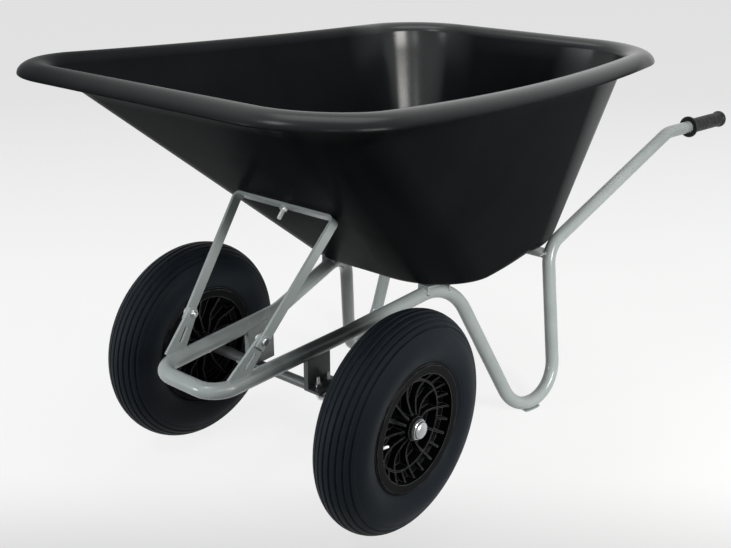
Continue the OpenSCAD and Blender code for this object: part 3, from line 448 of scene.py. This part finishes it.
# %% Rims and grips
black_dark, black_pale = (0.0028, 0.0031, 0.0037, 1), (0.0045, 0.0048, 0.0055, 1)
for slot, gloss, rough in (("rim_plastic", 0.03, (0.32, 0.44)), ("grip_plastic", 0.3, (0.36, 0.48))):
    tree, shader, patch, colour = new_finish(slot, black_dark, black_pale, 30.0, 1500.0, (0.15, 0.0002),
                                             Specular_IOR_Level=gloss)
    wear_and_highlight = use_group(tree, edge_wear_and_highlight, Radius=0.0022, Amount=2.2, Break_Scale=40.0, Least=0.42)["Mask"]
    wear_and_highlight = remap(tree, wear_and_highlight, 0.35, 0.85)
    # Painted highlight: the pale edge colour stands in for light caught on the rib edges, with some scuffing.
    colour = mix_colour(tree, wear_and_highlight, colour, (0.15, 0.152, 0.158, 1))
    feed(tree, shader, colour, remap(tree, patch, 0, 1, *rough))

# %% [markdown]
# ## Metal and nylon
# Bolts and nuts are zinc plated, the axle is dark steel, the hub caps are chromed, and the bushes are nylon.
# They differ in colour, gloss and metal, and small patches keep them from looking like mirrors.

# %% Metal and nylon
for slot, metal, dark, pale, rough in (
        ("zinc_steel", 1.0, (0.56, 0.57, 0.575, 1), (0.72, 0.73, 0.73, 1), (0.26, 0.4)),
        ("axle_steel", 0.2, (0.085, 0.092, 0.092, 1), (0.12, 0.128, 0.127, 1), (0.35, 0.5)),
        ("cap_chrome", 1.0, (0.42, 0.43, 0.445, 1), (0.5, 0.51, 0.52, 1), (0.2, 0.3)),
        ("bush_nylon", 0.0, (0.012, 0.012, 0.013, 1), (0.02, 0.02, 0.021, 1), (0.4, 0.5))):
    tree, shader, patch, colour = new_finish(slot, dark, pale, 60.0, 1800.0, (0.08, 0.0001), Metallic=metal)
    feed(tree, shader, colour, remap(tree, patch, 0, 1, *rough))

# %% [markdown]
# ## Dress the solids
# Tubes, plates, rims, bushes and washers are right as solids and only need their finish. The record names the
# slot of each, so a loop dresses them all. The pieces below stand in for those that need more form.

# %% Dress the solids
for subpart in frame["record"]["subparts"]:
    solid = nodes[subpart["node"]]
    solid.data.materials.clear()
    solid.data.materials.append(finishes[subpart["material_slot"]])
print("finishes:", sorted(finishes))

# %% [markdown]
# ## The tray's plan
# The tray is one shell of black plastic, drawn down into a mould, so every corner is round and the walls
# flow into the floor and over into the lip. A box with bevels would never flow like that. Here the shell is
# lofted between two plans, the floor's and the rim's, which have the same number of points. The values are
# those of the solid that it stands for, in millimetres from the ground below the axle.

# %% Tray plan
def tray_plan(front, back, half_front, half_back, round_front, round_back, per_corner=28, per_edge=22):
    """Rounded four-sided outline in millimetres, anticlockwise from the front left corner."""
    turn = np.radians(np.linspace(0, 90, per_corner + 1))
    corners = []
    for x, y, radius, start in ((front - round_front, half_front - round_front, round_front, 0),
                                (back + round_back, half_back - round_back, round_back, 90),
                                (back + round_back, round_back - half_back, round_back, 180),
                                (front - round_front, round_front - half_front, round_front, 270)):
        angle = turn + math.radians(start)
        corners.append(np.stack([x + radius * np.cos(angle), y + radius * np.sin(angle)], 1))
    step = (np.arange(1, per_edge + 1) / (per_edge + 1))[:, None]
    runs = []
    for here, following in zip(corners, corners[1:] + corners[:1]):
        runs += [here, here[-1] + (following[0] - here[-1]) * step]
    return np.concatenate(runs)


tray_wall = 4.0
tray_tilt, front_wall_tilt = 2.6, 41.5
stay_x, stay_height = -6.0, 534.5
crest_x, crest_floor = -266.195, 334.433
rim_front_height, rim_rear_height, rim_sag = 788.0, 741.0, 10.0
rim_back, rim_half_front, rim_half_rear, rim_bow = 757.0, 323.0, 293.0, 28.0
lip_width, lip_drop = 57.0, 20.0
tray_fall = math.tan(math.radians(tray_tilt))
wall_run = 1 / math.tan(math.radians(front_wall_tilt))
rim_front = stay_x + (rim_front_height - lip_drop - stay_height) * wall_run
stay_rise = stay_height - crest_floor + crest_x * tray_fall
floor_front = (stay_x - stay_rise * wall_run) / (1 - tray_fall * wall_run)
floor_back, floor_half_front, floor_half_rear = 655.0, 199.0, 200.0
rim_rounds, floor_rounds = (102, 112), (138, 90)
rim_plan = tray_plan(rim_front, -rim_back, rim_half_front, rim_half_rear, *rim_rounds)
rim_along = (2 * rim_plan[:, 0] - rim_front + rim_back) / (rim_front + rim_back)
halfway = 1 - rim_along ** 2
rim_side = np.sign(rim_plan[:, 1]) * (np.abs(rim_plan[:, 1]) / rim_half_front) ** 2
rim_plan[:, 1] += rim_bow * halfway * rim_side
rim_climb = (rim_front_height - rim_rear_height) * (1 + rim_along) / 2
rim_height = rim_rear_height + rim_climb - rim_sag * halfway
floor_plan = tray_plan(floor_front, -floor_back, floor_half_front, floor_half_rear, *floor_rounds)
print("tray plan points:", len(rim_plan), "floor from", round(floor_front), "rim from", round(rim_front))

# %% [markdown]
# ## The tray's walls
# A section of the shell starts in the floor, bends up into the wall and ends below the lip, and the inside
# follows one wall's thickness away. It is worked out for all points of the plan at once, each as one row of
# an array, so that the bend can follow the slope of the wall.

# %% Tray walls
def unit_rows(vectors):
    """Each row at a length of one."""
    return vectors / np.linalg.norm(vectors, axis=1, keepdims=True)


def plan_outward(plan):
    """Unit normals of a closed plan outline."""
    along = unit_rows(np.roll(plan, -1, 0) - np.roll(plan, 1, 0))
    return np.stack([along[:, 1], -along[:, 0]], 1)


def upright(flat, height):
    """Plan directions or places with a height column."""
    return np.concatenate([flat, np.broadcast_to(np.asarray(height, float), (len(flat),))[:, None]], 1)


def floor_height(x):
    """Height of the sloping floor's underside."""
    return crest_floor + (x - crest_x) * tray_fall


floor_bend = 78
foot = upright(floor_plan, floor_height(floor_plan[:, 0]))
wall_top = upright(rim_plan, rim_height - lip_drop)
outward = upright(plan_outward(rim_plan), 0)
floor_out = plan_outward(floor_plan)
inward = -upright(floor_out, floor_out[:, 0] * tray_fall)
wall_up = unit_rows(wall_top - foot)
setback = (floor_bend * np.tan(np.arcsin(wall_up[:, 2]) / 2))[:, None]
skin = (tray_wall / wall_up[:, 2])[:, None]
lifted = foot + (wall_top - foot) * (tray_wall / (wall_top[:, 2] - foot[:, 2]))[:, None]
inner_plan = lifted[:, :2] - floor_out * skin
inner_foot = upright(inner_plan, floor_height(inner_plan[:, 0]) + tray_wall / math.cos(math.atan(tray_fall)))
inner_top = wall_top - outward * skin
inner_up = unit_rows(inner_top - inner_foot)
print("steepest wall:", round(math.degrees(math.asin(wall_up[:, 2].max()))), "degrees")

# %% [markdown]
# ## The tray's lip
# The rim rolls over outwards like half a pipe and ends in a thick round hem, which stiffens the thin shell.
# Its path is an arch, drawn once as offsets from the top of the wall: along the underside, round the hem, and
# back over the top. With the walls it gives the full list of rings.

# %% Tray lip and rings
def lip_offset(angle, inset):
    """Outward and upward offset of the lip from the top of the wall, at an angle of its arch."""
    middle = (lip_width - tray_wall) / 2
    out = middle + (middle + tray_wall - inset) * math.cos(angle)
    return out, (lip_drop - inset) * (math.sin(angle) - 1) - inset


def bend_rows(start, corner, end, steps=16):
    """A rounded corner as a list of rings, from start to end."""
    shares = np.linspace(0, 1, steps + 1)
    return [start * (1 - t) ** 2 + corner * 2 * t * (1 - t) + end * t * t for t in shares]


hem = 1.1 * tray_wall
hem_start = math.asin(hem / (2 * lip_drop))
hem_out, hem_rise = lip_width - hem / 2, hem / 2 - lip_drop
hem_turn = np.linspace(0.5, math.pi - 0.5, 6)
lip_path = [lip_offset(a, hem) for a in np.linspace(math.pi, hem_start, 22)]
lip_path += [(hem_out - hem / 2 * math.cos(a), hem_rise - hem / 2 * math.sin(a)) for a in hem_turn]
lip_path += [lip_offset(a, 0) for a in np.linspace(hem_start, math.pi, 30)]

up_wall = np.linspace(0, 1, 10)
wall_low = foot + wall_up * setback
inner_low = inner_foot + inner_up * setback
rings = bend_rows(foot + inward * setback, foot, wall_low)
rings += [wall_low + (wall_top - wall_low) * t for t in up_wall[1:]]
rings += [wall_top + outward * out + np.array([0, 0, lip_drop + rise]) for out, rise in lip_path]
inner_high = rings[-1]
rings += [inner_high + (inner_low - inner_high) * t for t in up_wall[1:-1]]
rings += bend_rows(inner_low, inner_foot, inner_foot + inward * setback)
print("tray section points:", len(rings))

# %% [markdown]
# ## From rings to a mesh
# A tray, a tyre and a bolt are all the same to a mesh: rings of points with four-sided faces between them.
# One helper writes those faces, and another makes the object, gives it its finish and ties it to the body
# that it moves with. The tray's shell is the first piece.

# %% Tray shell
def ring_shape(grid, closed):
    """Points and faces of a stack of rings, whose last joins its first if closed, or else has flat ends."""
    rows, steps = grid.shape[:2]
    faces = []
    for row in range(rows if closed else rows - 1):
        here, above = row * steps, (row + 1) % rows * steps
        for s in range(steps):
            after = (s + 1) % steps
            faces.append((here + s, here + after, above + after, above + s))
    if not closed:
        last = (rows - 1) * steps
        faces += [tuple(range(steps - 1, -1, -1)), tuple(range(last, last + steps))]
    return grid.reshape(-1, 3), faces


def add_piece(name, shape, slot, body, sharp=38):
    """Make a shape in axle millimetres into an object that takes a slot's finish and rides on a body."""
    points, faces = shape
    mesh = bpy.data.meshes.new(name)
    mesh.from_pydata([axle_point(*p) for p in points], [], faces)
    mesh.validate()
    work = bmesh.new()
    work.from_mesh(mesh)
    bmesh.ops.recalc_face_normals(work, faces=work.faces)
    work.to_mesh(mesh)
    work.free()
    mesh.shade_smooth()
    if sharp:
        mesh.set_sharp_from_angle(angle=math.radians(sharp))
    mesh.materials.append(finishes[slot])
    piece = bpy.data.objects.new(name, mesh)
    bpy.context.scene.collection.objects.link(piece)
    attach(piece, body)
    print(name + ":", len(mesh.polygons), "faces")
    return piece


tray_shape = ring_shape(np.stack(rings), closed=False)
tray_shell = add_piece("tray_shell", tray_shape, "tray_plastic", "barrow", sharp=None)
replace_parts(tray_shell, "tray")

# %% [markdown]
# ## Turned and threaded shapes
# Tyres, grips, caps and bolts are all round about one axis. Blender has ready cylinders, but a moulded ring
# or a screw thread needs its own section. So a profile is written as radius and height and turned about an
# axis; a thread is the same wall with a radius that rises and falls along a screw line. A nut is six flats
# whose corners are cut by a wider circle at both ends.

# %% Turned and threaded shapes
on_axis = 0.01


def around(steps):
    """Angles of a full turn."""
    return np.linspace(0, 2 * math.pi, steps, endpoint=False)


def round_grid(radius, height, angle):
    """Rings from radii, one for each row and angle, and a height for each row."""
    heights = np.broadcast_to(np.asarray(height, float)[:, None], radius.shape)
    return np.stack([radius * np.cos(angle), radius * np.sin(angle), heights], 2)


def turned(profile, steps=64, ripple=None):
    """Turn a closed profile of (radius, height) about Z; ripple(angle, row) may scale the radius."""
    angle = around(steps)
    radius, height = np.array(profile, float).T
    wave = np.ones((len(profile), steps))
    if ripple:
        wave = ripple(angle[None, :], np.arange(len(profile))[:, None])
    return ring_shape(round_grid(radius[:, None] * wave, height, angle), closed=True)


def threaded(radius, length, pitch=1.25, depth=0.75, steps=24, tip=1.2, rows_per_turn=7):
    """A screw thread of that outer radius from Z = 0 upwards, with a tapered tip."""
    rows = np.linspace(0, length, int(length / pitch * rows_per_turn) + 1)
    angle = around(steps)
    phase = (rows[:, None] / pitch - angle[None, :] / (2 * math.pi)) % 1.0
    flank = depth * np.clip(2.4 * np.abs(phase - 0.5) - 0.1, 0, 1)
    taper = np.clip((rows - length + tip) / tip, 0, 1)[:, None] * depth * 1.3
    return ring_shape(round_grid(np.minimum(radius - flank, radius - taper), rows, angle), closed=False)


def hexagon(corner, height, bore=on_axis, steps=72, bore_sink=0.3):
    """A six-sided nut or bolt head whose corners are turned off at both ends."""
    angle = around(steps)
    sixth = math.pi / 3
    flat = corner * math.cos(sixth / 2)
    six = flat / np.cos((angle + sixth / 2) % sixth - sixth / 2)
    fall = (corner - flat) * 0.62
    shoulder, face = flat + 0.35 * (corner - flat), 0.96 * flat
    limits = [face, shoulder, 2 * corner, 2 * corner, shoulder, face]
    levels = [0, 0.35 * fall, fall, height - fall, height - 0.35 * fall, height]
    hole = [np.full(steps, bore)]
    radius = np.stack(hole + [np.minimum(six, limit) for limit in limits] + hole)
    return ring_shape(round_grid(radius, [bore_sink] + levels + [height - bore_sink], angle), closed=True)


# %% [markdown]
# ## Seats
# Each shape is kept as points and faces, so that several can be laid on their seats and joined before they
# become one object. A seat is a matrix, made of shifts and turns. The wheels' seats come from the joints,
# with Z along the axle and outwards.

# %% Seats
def shifted(x, y, z):
    """A seat moved by millimetres."""
    made = np.eye(4)
    made[:3, 3] = x, y, z
    return made


def turn_about(axis, degrees):
    """A seat turned about an axis."""
    return np.array(Matrix.Rotation(math.radians(degrees), 4, axis))


def laid(shape, place):
    """A shape moved onto a seat, which is a 4x4 matrix in axle millimetres."""
    points, faces = shape
    return points @ place[:3, :3].T + place[:3, 3], faces


def joined(shapes):
    """Several shapes as one."""
    points, faces, start = [], [], 0
    for some, between in shapes:
        points.append(some)
        faces += [tuple(i + start for i in face) for face in between]
        start += len(some)
    return np.concatenate(points), faces


wheel_out, axle_height = 1000 * wheel_y, 1000 * axle_z
wheel_seats = {"left": shifted(0, wheel_out, axle_height) @ turn_about("X", -90),
               "right": shifted(0, -wheel_out, axle_height) @ turn_about("X", 90)}
print("wheels", wheel_out, "mm to each side,", axle_height, "mm up")

# %% [markdown]
# ## Tyres
# The tread is a row of round ribs that runs over the crown and well down both shoulders. It could be a bump
# map, but the ribs show in the outline, so they are part of the section: along the crown the radius dips by
# almost three millimetres at each groove. The side walls carry two fine rings, and the section closes through
# the beads and round the inside.

# %% Tyres
crown_middle, crown_round, crown_spread = 154, 46, 67.5
groove_at = np.radians(np.linspace(-55.7, 55.7, 9))
groove_depth, groove_half_floor, groove_flank = 2.8, 0.5, 2.0
wall_middle, wall_round = 147, 49
casing_round = 43
tall_ring, low_ring = 0.7, 0.45
side_rings = ((119, tall_ring, 1.6), (112.5, low_ring, 1.2))


def groove_dip(angle):
    """Depth of the tread at an angle of the crown."""
    away = np.abs(groove_at - angle).min() * crown_round
    t = min(max((away - groove_half_floor) / groove_flank, 0), 1)
    return groove_depth * (1 - t * t * (3 - 2 * t))


def arc_point(middle, radius, angle):
    """A (radius, height) point on an arc of the section."""
    return middle + radius * math.cos(angle), radius * math.sin(angle)


def tyre_section():
    """Closed (radius, height) section of a tyre, from the outer bead over the crown to the inner bead."""
    wall = []
    for degrees in np.linspace(128.3, 61.5, 34):
        ring = sum(rise * math.exp(-((degrees - at) / half) ** 2) for at, rise, half in side_rings)
        wall.append(arc_point(wall_middle, wall_round - tall_ring + ring, math.radians(degrees)))
    crown_turn = np.radians(np.linspace(crown_spread, -crown_spread, 161))
    crown = [arc_point(crown_middle, crown_round - groove_dip(a), a) for a in crown_turn]
    bead = [(116.6, -36.4), (103.2, -36.4), (103.2, -26.4), (117, -26.4)]
    inside = [arc_point(wall_middle, casing_round, a) for a in np.radians(np.linspace(-142, 142, 29))]
    other_wall, other_bead = ([(r, -z) for r, z in reversed(line)] for line in (wall, bead))
    return wall + crown + other_wall + bead + inside + other_bead


for side, place in wheel_seats.items():
    tyre_shape = laid(turned(tyre_section(), 120), place)
    tyre = add_piece(side + "_ribbed_tyre", tyre_shape, "tyre_rubber", side + "_wheel", sharp=60)
    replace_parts(tyre, side + "_tyre")

# %% [markdown]
# ## Hub caps
# A pressed cap closes each hub: a rolled edge, a small step and a dome. The dome is a flattened quarter
# circle, a little fuller than an ellipse, as a press leaves it.

# %% Hub caps
cap_seat = 40.4
dome_radius, dome_foot, dome_rise, dome_fullness = 15.6, 4.4, 6.5, 0.9
cap_section = [(on_axis, 0.4), (15.6, 0.4), (16.6, 0.0), (17.3, 0.6), (17.5, 1.6), (17.3, 2.7), (16.5, 3.3),
               (15.9, 3.5), (15.7, 4.2)]
cap_section += [(dome_radius * math.cos(a), dome_foot + dome_rise * math.sin(a) ** dome_fullness)
                for a in np.radians(np.linspace(4, 89.9, 22))]
cap_shape = turned(cap_section, 72)
print("hub cap points:", len(cap_shape[0]))

# %% [markdown]
# ## Valves
# The valve stands out of the rim between two ribs and leans outwards, so that a pump can reach it. It has a
# plain stem, a screw thread and a cap that is ribbed for the fingers, which is a turned profile whose radius
# also waves round the axis. Then caps and valves go onto their wheels.

# %% Valves
valve_turn, valve_radius, valve_height, valve_lean = 7.5, 92.5, 8.6, -60
thread_start = 9.5
valve_cap = [(on_axis, 21.6), (2.5, 21.6), (2.9, 22.2), (3.0, 23), (3.0, 30.5), (2.8, 32), (2.0, 33.4),
             (on_axis, 33.9)]
valve_stem = [(on_axis, -8.8), (3.9, -8.8), (3.9, 7.4), (3.3, 8.6), (3.3, 9.6), (on_axis, 9.6)]


def finger_ribs(angle, row, ribs=16, depth=0.035):
    """Scale of the valve cap's radius: ribs along its side, none at its ends."""
    return 1 - depth * (1 + np.cos(ribs * angle)) * ((row > 1) & (row < 6))


valve_thread = laid(threaded(2.5, 12.5, pitch=0.9, depth=0.4), shifted(0, 0, thread_start))
valve_shape = joined([turned(valve_stem, 32), valve_thread, turned(valve_cap, 96, finger_ribs)])
for side, place in wheel_seats.items():
    seated_cap = laid(cap_shape, place @ shifted(0, 0, cap_seat))
    cap = add_piece(side + "_domed_cap", seated_cap, "cap_chrome", side + "_wheel")
    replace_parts(cap, side + "_hub_cap")
    valve_foot = place @ turn_about("Z", valve_turn) @ shifted(valve_radius, 0, valve_height)
    leaning = laid(valve_shape, valve_foot @ turn_about("Y", valve_lean))
    valve = add_piece(side + "_screw_valve", leaning, "zinc_steel", side + "_wheel")
    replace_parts(valve, side + "_valve")

# %% [markdown]
# ## Handle grips
# Soft plastic sleeves with a wide guard, rings for the hand and a collar at the end. Sharp steps would look
# cut, so each edge of the profile gets a short curve, and the rings are smooth dips between fine ribs. Each
# grip is laid along its handle, with the tube's end on the floor of its socket.

# %% Handle grips
handle_end = (-1223.3, 304.038, 509.0)
handle_along = (-0.974924, 0.222049, 0.0147766)
socket_radius, socket_depth, grip_length = 14.2, 124, 128
sleeve_radius, hand_rings, ring_pitch, ring_depth, ring_half = 17.0, 6, 15.714, 1.1, 1.5
rib_pitch, rib_depth = 2.62, 0.16


def grip_section():
    """Closed (radius, height) section of a grip from the guard to the closed end."""
    guard = [(socket_radius, 0.3), (15.5, 0.0), (21.8, 0.0)]
    guard += [(22 + 3 * math.cos(a), 3 + 3 * math.sin(a)) for a in np.radians(np.linspace(-80, 80, 15))]
    guard += [(21.0, 6.2), (19.0, 6.8), (17.6, 8.2)]
    sleeve = []
    for z in np.linspace(9, 118, 150):
        ring = sum(math.exp(-((z - 6 - i * ring_pitch) / ring_half) ** 2) for i in range(1, hand_rings + 1))
        rib = rib_depth * (1 + math.cos(2 * math.pi * z / rib_pitch)) * (1 - min(ring, 1))
        sleeve.append((sleeve_radius - ring_depth * ring - rib, z))
    collar = [(17.2, 119.2), (18.6, 120.2)]
    collar += [(19.5 - 1.4 * (1 - math.cos(a)), 124 + 4 * math.sin(a)) for a in np.linspace(-0.8, 1.35, 12)]
    end = [(15.5, grip_length - 0.3), (9, grip_length), (on_axis, grip_length)]
    socket_floor = [(on_axis, socket_depth + 0.2), (socket_radius, socket_depth + 0.2)]
    return guard + sleeve + collar + end + socket_floor


for side, sign in (("left", 1), ("right", -1)):
    mirror = np.array((1, sign, 1))
    along = Vector(mirror * handle_along).normalized()
    place = np.array(along.to_track_quat("Z", "Y").to_matrix().to_4x4())
    place[:3, 3] = mirror * handle_end - np.array(along) * socket_depth
    grip_shape = laid(turned(grip_section(), 72), place)
    grip = add_piece(side + "_ringed_grip", grip_shape, "grip_plastic", "barrow", sharp=50)
    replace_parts(grip, side + "_grip")

# %% [markdown]
# ## Bolts and nuts
# The tray hangs on eight-millimetre bolts. Real ones catch the light on the turned-off corners of the nut and
# on the thread that stands out below it. One nut, one thread and one domed head are drawn first, and every
# bolt is put together from them.

# %% Bolts and nuts
bolt_radius, shank_length = 4.0, 7.5
nut_corner, nut_height, nut_bore, head_height = 7.44, 6.4, 3.6, 5.2
shank_radius, thread_below = 3.95, 7.4
upside_down = turn_about("X", 180)
dome_head = [(on_axis, 0.0), (8.9, 0.0), (9.2, 0.35)]
dome_head += [(9.15 * math.cos(a), 0.4 + 3.6 * math.sin(a)) for a in np.radians(np.linspace(8, 89.9, 14))]
shank_top = -0.02
round_shank = [(on_axis, -shank_length), (shank_radius, -shank_length), (shank_radius, shank_top),
               (on_axis, shank_top)]
nut_shape = hexagon(nut_corner, nut_height, nut_bore)


def bolt_below(head, thread_length):
    """A head above Z = 0, a plain shank and a threaded end below."""
    thread = laid(threaded(bolt_radius, thread_length), upside_down @ shifted(0, 0, thread_below))
    return joined([head, turned(round_shank, 32), thread])


hex_bolt = bolt_below(hexagon(nut_corner, head_height), 13.0)
wall_bolt = bolt_below(turned(dome_head, 48), 33.0 - thread_below)
floor_bolt = bolt_below(turned(dome_head, 48), 20.3 - thread_below)
print("points in a nut:", len(nut_shape[0]), "in a floor bolt:", len(floor_bolt[0]))

# %% [markdown]
# ## Where the fasteners sit
# The seats follow what they fasten: the tilt of the tray's floor, its front wall, and the legs of the stay,
# which spread outwards. Both legs are alike, so the right one's seats are the mirror image of the left one's.
# Nuts or bolts of one kind become one object, as they share one node.

# %% Lay the fasteners
leg_spread, leg_length, stay_half, bar_half = 6.164, 250, 91, 5
leg_hole_up, bar_face = 15, 5.1
hanger_y, clamp_half, clamp_nut_height = 84.951, 14.1, 215
support_hole, crossbar_hole = (-340.195, 116.055), (-578.025, 70.0)
tray_bolt_height, tray_nut_height = crest_floor + tray_wall, crest_floor - 11.5
front_wall = shifted(stay_x, 0, stay_height) @ turn_about("Y", -front_wall_tilt)
crest_seat = shifted(crest_x, 0, crest_floor)
tray_slope = crest_seat @ turn_about("Y", -tray_tilt) @ np.linalg.inv(crest_seat)
leg_out = stay_half - bar_half * math.cos(math.radians(leg_spread))
leg_seat = front_wall @ shifted(0, leg_out, -leg_length) @ turn_about("X", -leg_spread)
leg_bolt = leg_seat @ shifted(0, bar_face, leg_hole_up) @ turn_about("X", -90)
leg_nut = leg_seat @ shifted(0, -bar_face - 0.1, leg_hole_up) @ turn_about("X", 90)
tray_places = [(x, sign * y) for x, y in (support_hole, crossbar_hole) for sign in (1, -1)]
clamp_places = [(x, y) for x in (-clamp_half, clamp_half) for y in (-hanger_y, hanger_y)]


def flipped(place):
    """The mirror image of a seat on the barrow's other side, for shapes that are alike on both sides."""
    made = np.diag([1.0, -1, 1, 1]) @ place
    made[:3, 0] *= -1
    return made


fasteners = {
    "stay_tray_bolt": [laid(wall_bolt, front_wall @ shifted(0, 0, tray_wall + 0.1))],
    "stay_tray_nut": [laid(nut_shape, front_wall @ shifted(0, 0, -bar_face) @ upside_down)],
    "stay_bolts": [laid(hex_bolt, leg_bolt), laid(hex_bolt, flipped(leg_bolt))],
    "stay_nuts": [laid(nut_shape, leg_nut), laid(nut_shape, flipped(leg_nut))],
    "tray_bolts": [laid(floor_bolt, tray_slope @ shifted(x, y, tray_bolt_height)) for x, y in tray_places],
    "tray_nuts": [laid(nut_shape, tray_slope @ shifted(x, y, tray_nut_height)) for x, y in tray_places],
    "clamp_nuts": [laid(nut_shape, shifted(x, y, clamp_nut_height)) for x, y in clamp_places],
}
for node, shapes in fasteners.items():
    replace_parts(add_piece(node + "_cut", joined(shapes), "zinc_steel", "barrow"), node)

# %% [markdown]
# ## Clamp rods
# Two bent rods hold the axle up to its hangers. Each is half a ring below the axle with a straight threaded
# end on both sides. A curve with a bevel could draw it, but the ends need a thread, so the half ring is a
# stack of rings as well and the ends are joined to it.

# %% Clamp rods
plain_length, rod_thread = 8.0, 26.2
half_turn = np.linspace(0, math.pi, 33)[:, None]
rod_sides = 20
rod_turn = around(rod_sides)[None, :]
reach = clamp_half + bolt_radius * np.cos(rod_turn)
across = np.broadcast_to(bolt_radius * np.sin(rod_turn), (len(half_turn), rod_sides))
half_ring = np.stack([-reach * np.cos(half_turn), across, -reach * np.sin(half_turn)], 2)
plain_rod = [(on_axis, 0), (bolt_radius, 0), (bolt_radius, plain_length), (on_axis, plain_length)]
plain_end = turned(plain_rod, rod_sides)
thread_end = laid(threaded(bolt_radius, rod_thread), shifted(0, 0, plain_length))
rod_ends = [laid(end, shifted(x, 0, 0)) for end in (plain_end, thread_end) for x in (-clamp_half, clamp_half)]
clamp_rod = joined([ring_shape(half_ring, closed=False)] + rod_ends)
both_rods = joined([laid(clamp_rod, shifted(0, y, axle_height)) for y in (-hanger_y, hanger_y)])
clamp = add_piece("axle_clamp_bows_cut", both_rods, "zinc_steel", "barrow")
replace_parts(clamp, "axle_clamp_bows")

# %% [markdown]
# ## Finding the seams
# Brackets, hangers and supports are welded to the tubes, and each weld leaves a rippled bead. Instead of
# drawing every seam by hand, the script looks for it: sharp edges of one solid that lie within a millimetre
# of the other solid are the seam. The edges are then chained to a path, from a loose end where there is one.

# %% Find seams
seam_reach, seam_least = 0.0008, 0.008
edge_least = 0.45


def seam_links(node, neighbour):
    """Places of a solid's corners, and which of them the sharp edges along its neighbour link."""
    tube = nodes[neighbour].data
    other = BVHTree.FromPolygons([v.co for v in tube.vertices], [p.vertices for p in tube.polygons])
    work = bmesh.new()
    work.from_mesh(nodes[node].data)
    bmesh.ops.remove_doubles(work, verts=work.verts, dist=1e-6)
    where = {v.index: v.co.copy() for v in work.verts}
    near = {i for i, place in where.items() if other.find_nearest(place, seam_reach)[0] is not None}
    links = {}
    for edge in work.edges:
        a, b = edge.verts[0].index, edge.verts[1].index
        if a in near and b in near and len(edge.link_faces) == 2 and edge.calc_face_angle(0) > edge_least:
            links.setdefault(a, set()).add(b)
            links.setdefault(b, set()).add(a)
    work.free()
    return where, links


def seam_paths(node, neighbour):
    """Chains of places, in scene metres, along the sharp edges of one solid that touch another."""
    where, links = seam_links(node, neighbour)
    paths = []
    for start in sorted(links, key=lambda v: (len(links[v]) == 2, v)):
        while links[start]:
            path, here = [start], start
            while links[here]:
                following = min(links[here])
                links[here].discard(following)
                links[following].discard(here)
                path.append(following)
                here = following
            paths.append([where[v] for v in path])
    return [p for p in paths if sum((b - a).length for a, b in zip(p, p[1:])) > seam_least]


welds = [("left_axle_hanger", "nose_bow"), ("right_axle_hanger", "nose_bow"),
         ("left_stay_bracket", "nose_bow"), ("right_stay_bracket", "nose_bow"),
         ("left_tray_support", "left_side_tube"), ("right_tray_support", "right_side_tube"),
         ("rear_crossbar", "left_side_tube"), ("rear_crossbar", "right_side_tube")]
seams = {pair: seam_paths(*pair) for pair in welds}
print("seams:", {" on ".join(pair): len(paths) for pair, paths in seams.items()})

# %% [markdown]
# ## Weld beads
# A bead is a small round section swept along its seam. The welder's hand moves on in steps, so the section
# swells and shrinks in ripples, and it thins out at both ends. It is painted with the frame.

# %% Weld beads
bead_radius, ripple_pitch, bead_step, bead_sides = 1.9, 2.6, 0.65, 10


def weld_bead(path):
    """A rippled bead along a path of places in scene metres, as a shape in axle millimetres."""
    line = np.array([[(p.x - axle_x) * 1000, p.y * 1000, p.z * 1000] for p in path])
    run = np.concatenate([[0], np.cumsum(np.linalg.norm(np.diff(line, axis=0), axis=1))])
    length = run[-1]
    at = np.linspace(0, length, max(int(length / bead_step), 6))
    middle = np.stack([np.interp(at, run, line[:, k]) for k in range(3)], 1)
    ahead = unit_rows(np.gradient(middle, axis=0))
    not_ahead = np.where(np.abs(ahead[:, 2:3]) < 0.8, [[0, 0, 1.0]], [[1.0, 0, 0]])
    beside = unit_rows(np.cross(ahead, not_ahead))[:, None]
    above = np.cross(beside[:, 0], ahead)[:, None]
    ripple = 1 + 0.2 * np.abs(np.sin(math.pi * at / ripple_pitch)) + 0.06 * np.sin(1.9 * at)
    ends = np.clip(np.minimum(at, length - at) / bead_radius, 0.25, 1)
    thick = (bead_radius * 0.85 * ripple * np.sqrt(ends))[:, None, None]
    angle = around(bead_sides)[None, :, None]
    rings = middle[:, None] + thick * (np.cos(angle) * beside + np.sin(angle) * above)
    return ring_shape(rings, closed=False)


for (node, neighbour), paths in seams.items():
    weld_name = "weld_" + node + "_" + neighbour.split("_")[0]
    add_piece(weld_name, joined([weld_bead(p) for p in paths]), "frame_paint", "barrow", sharp=80)
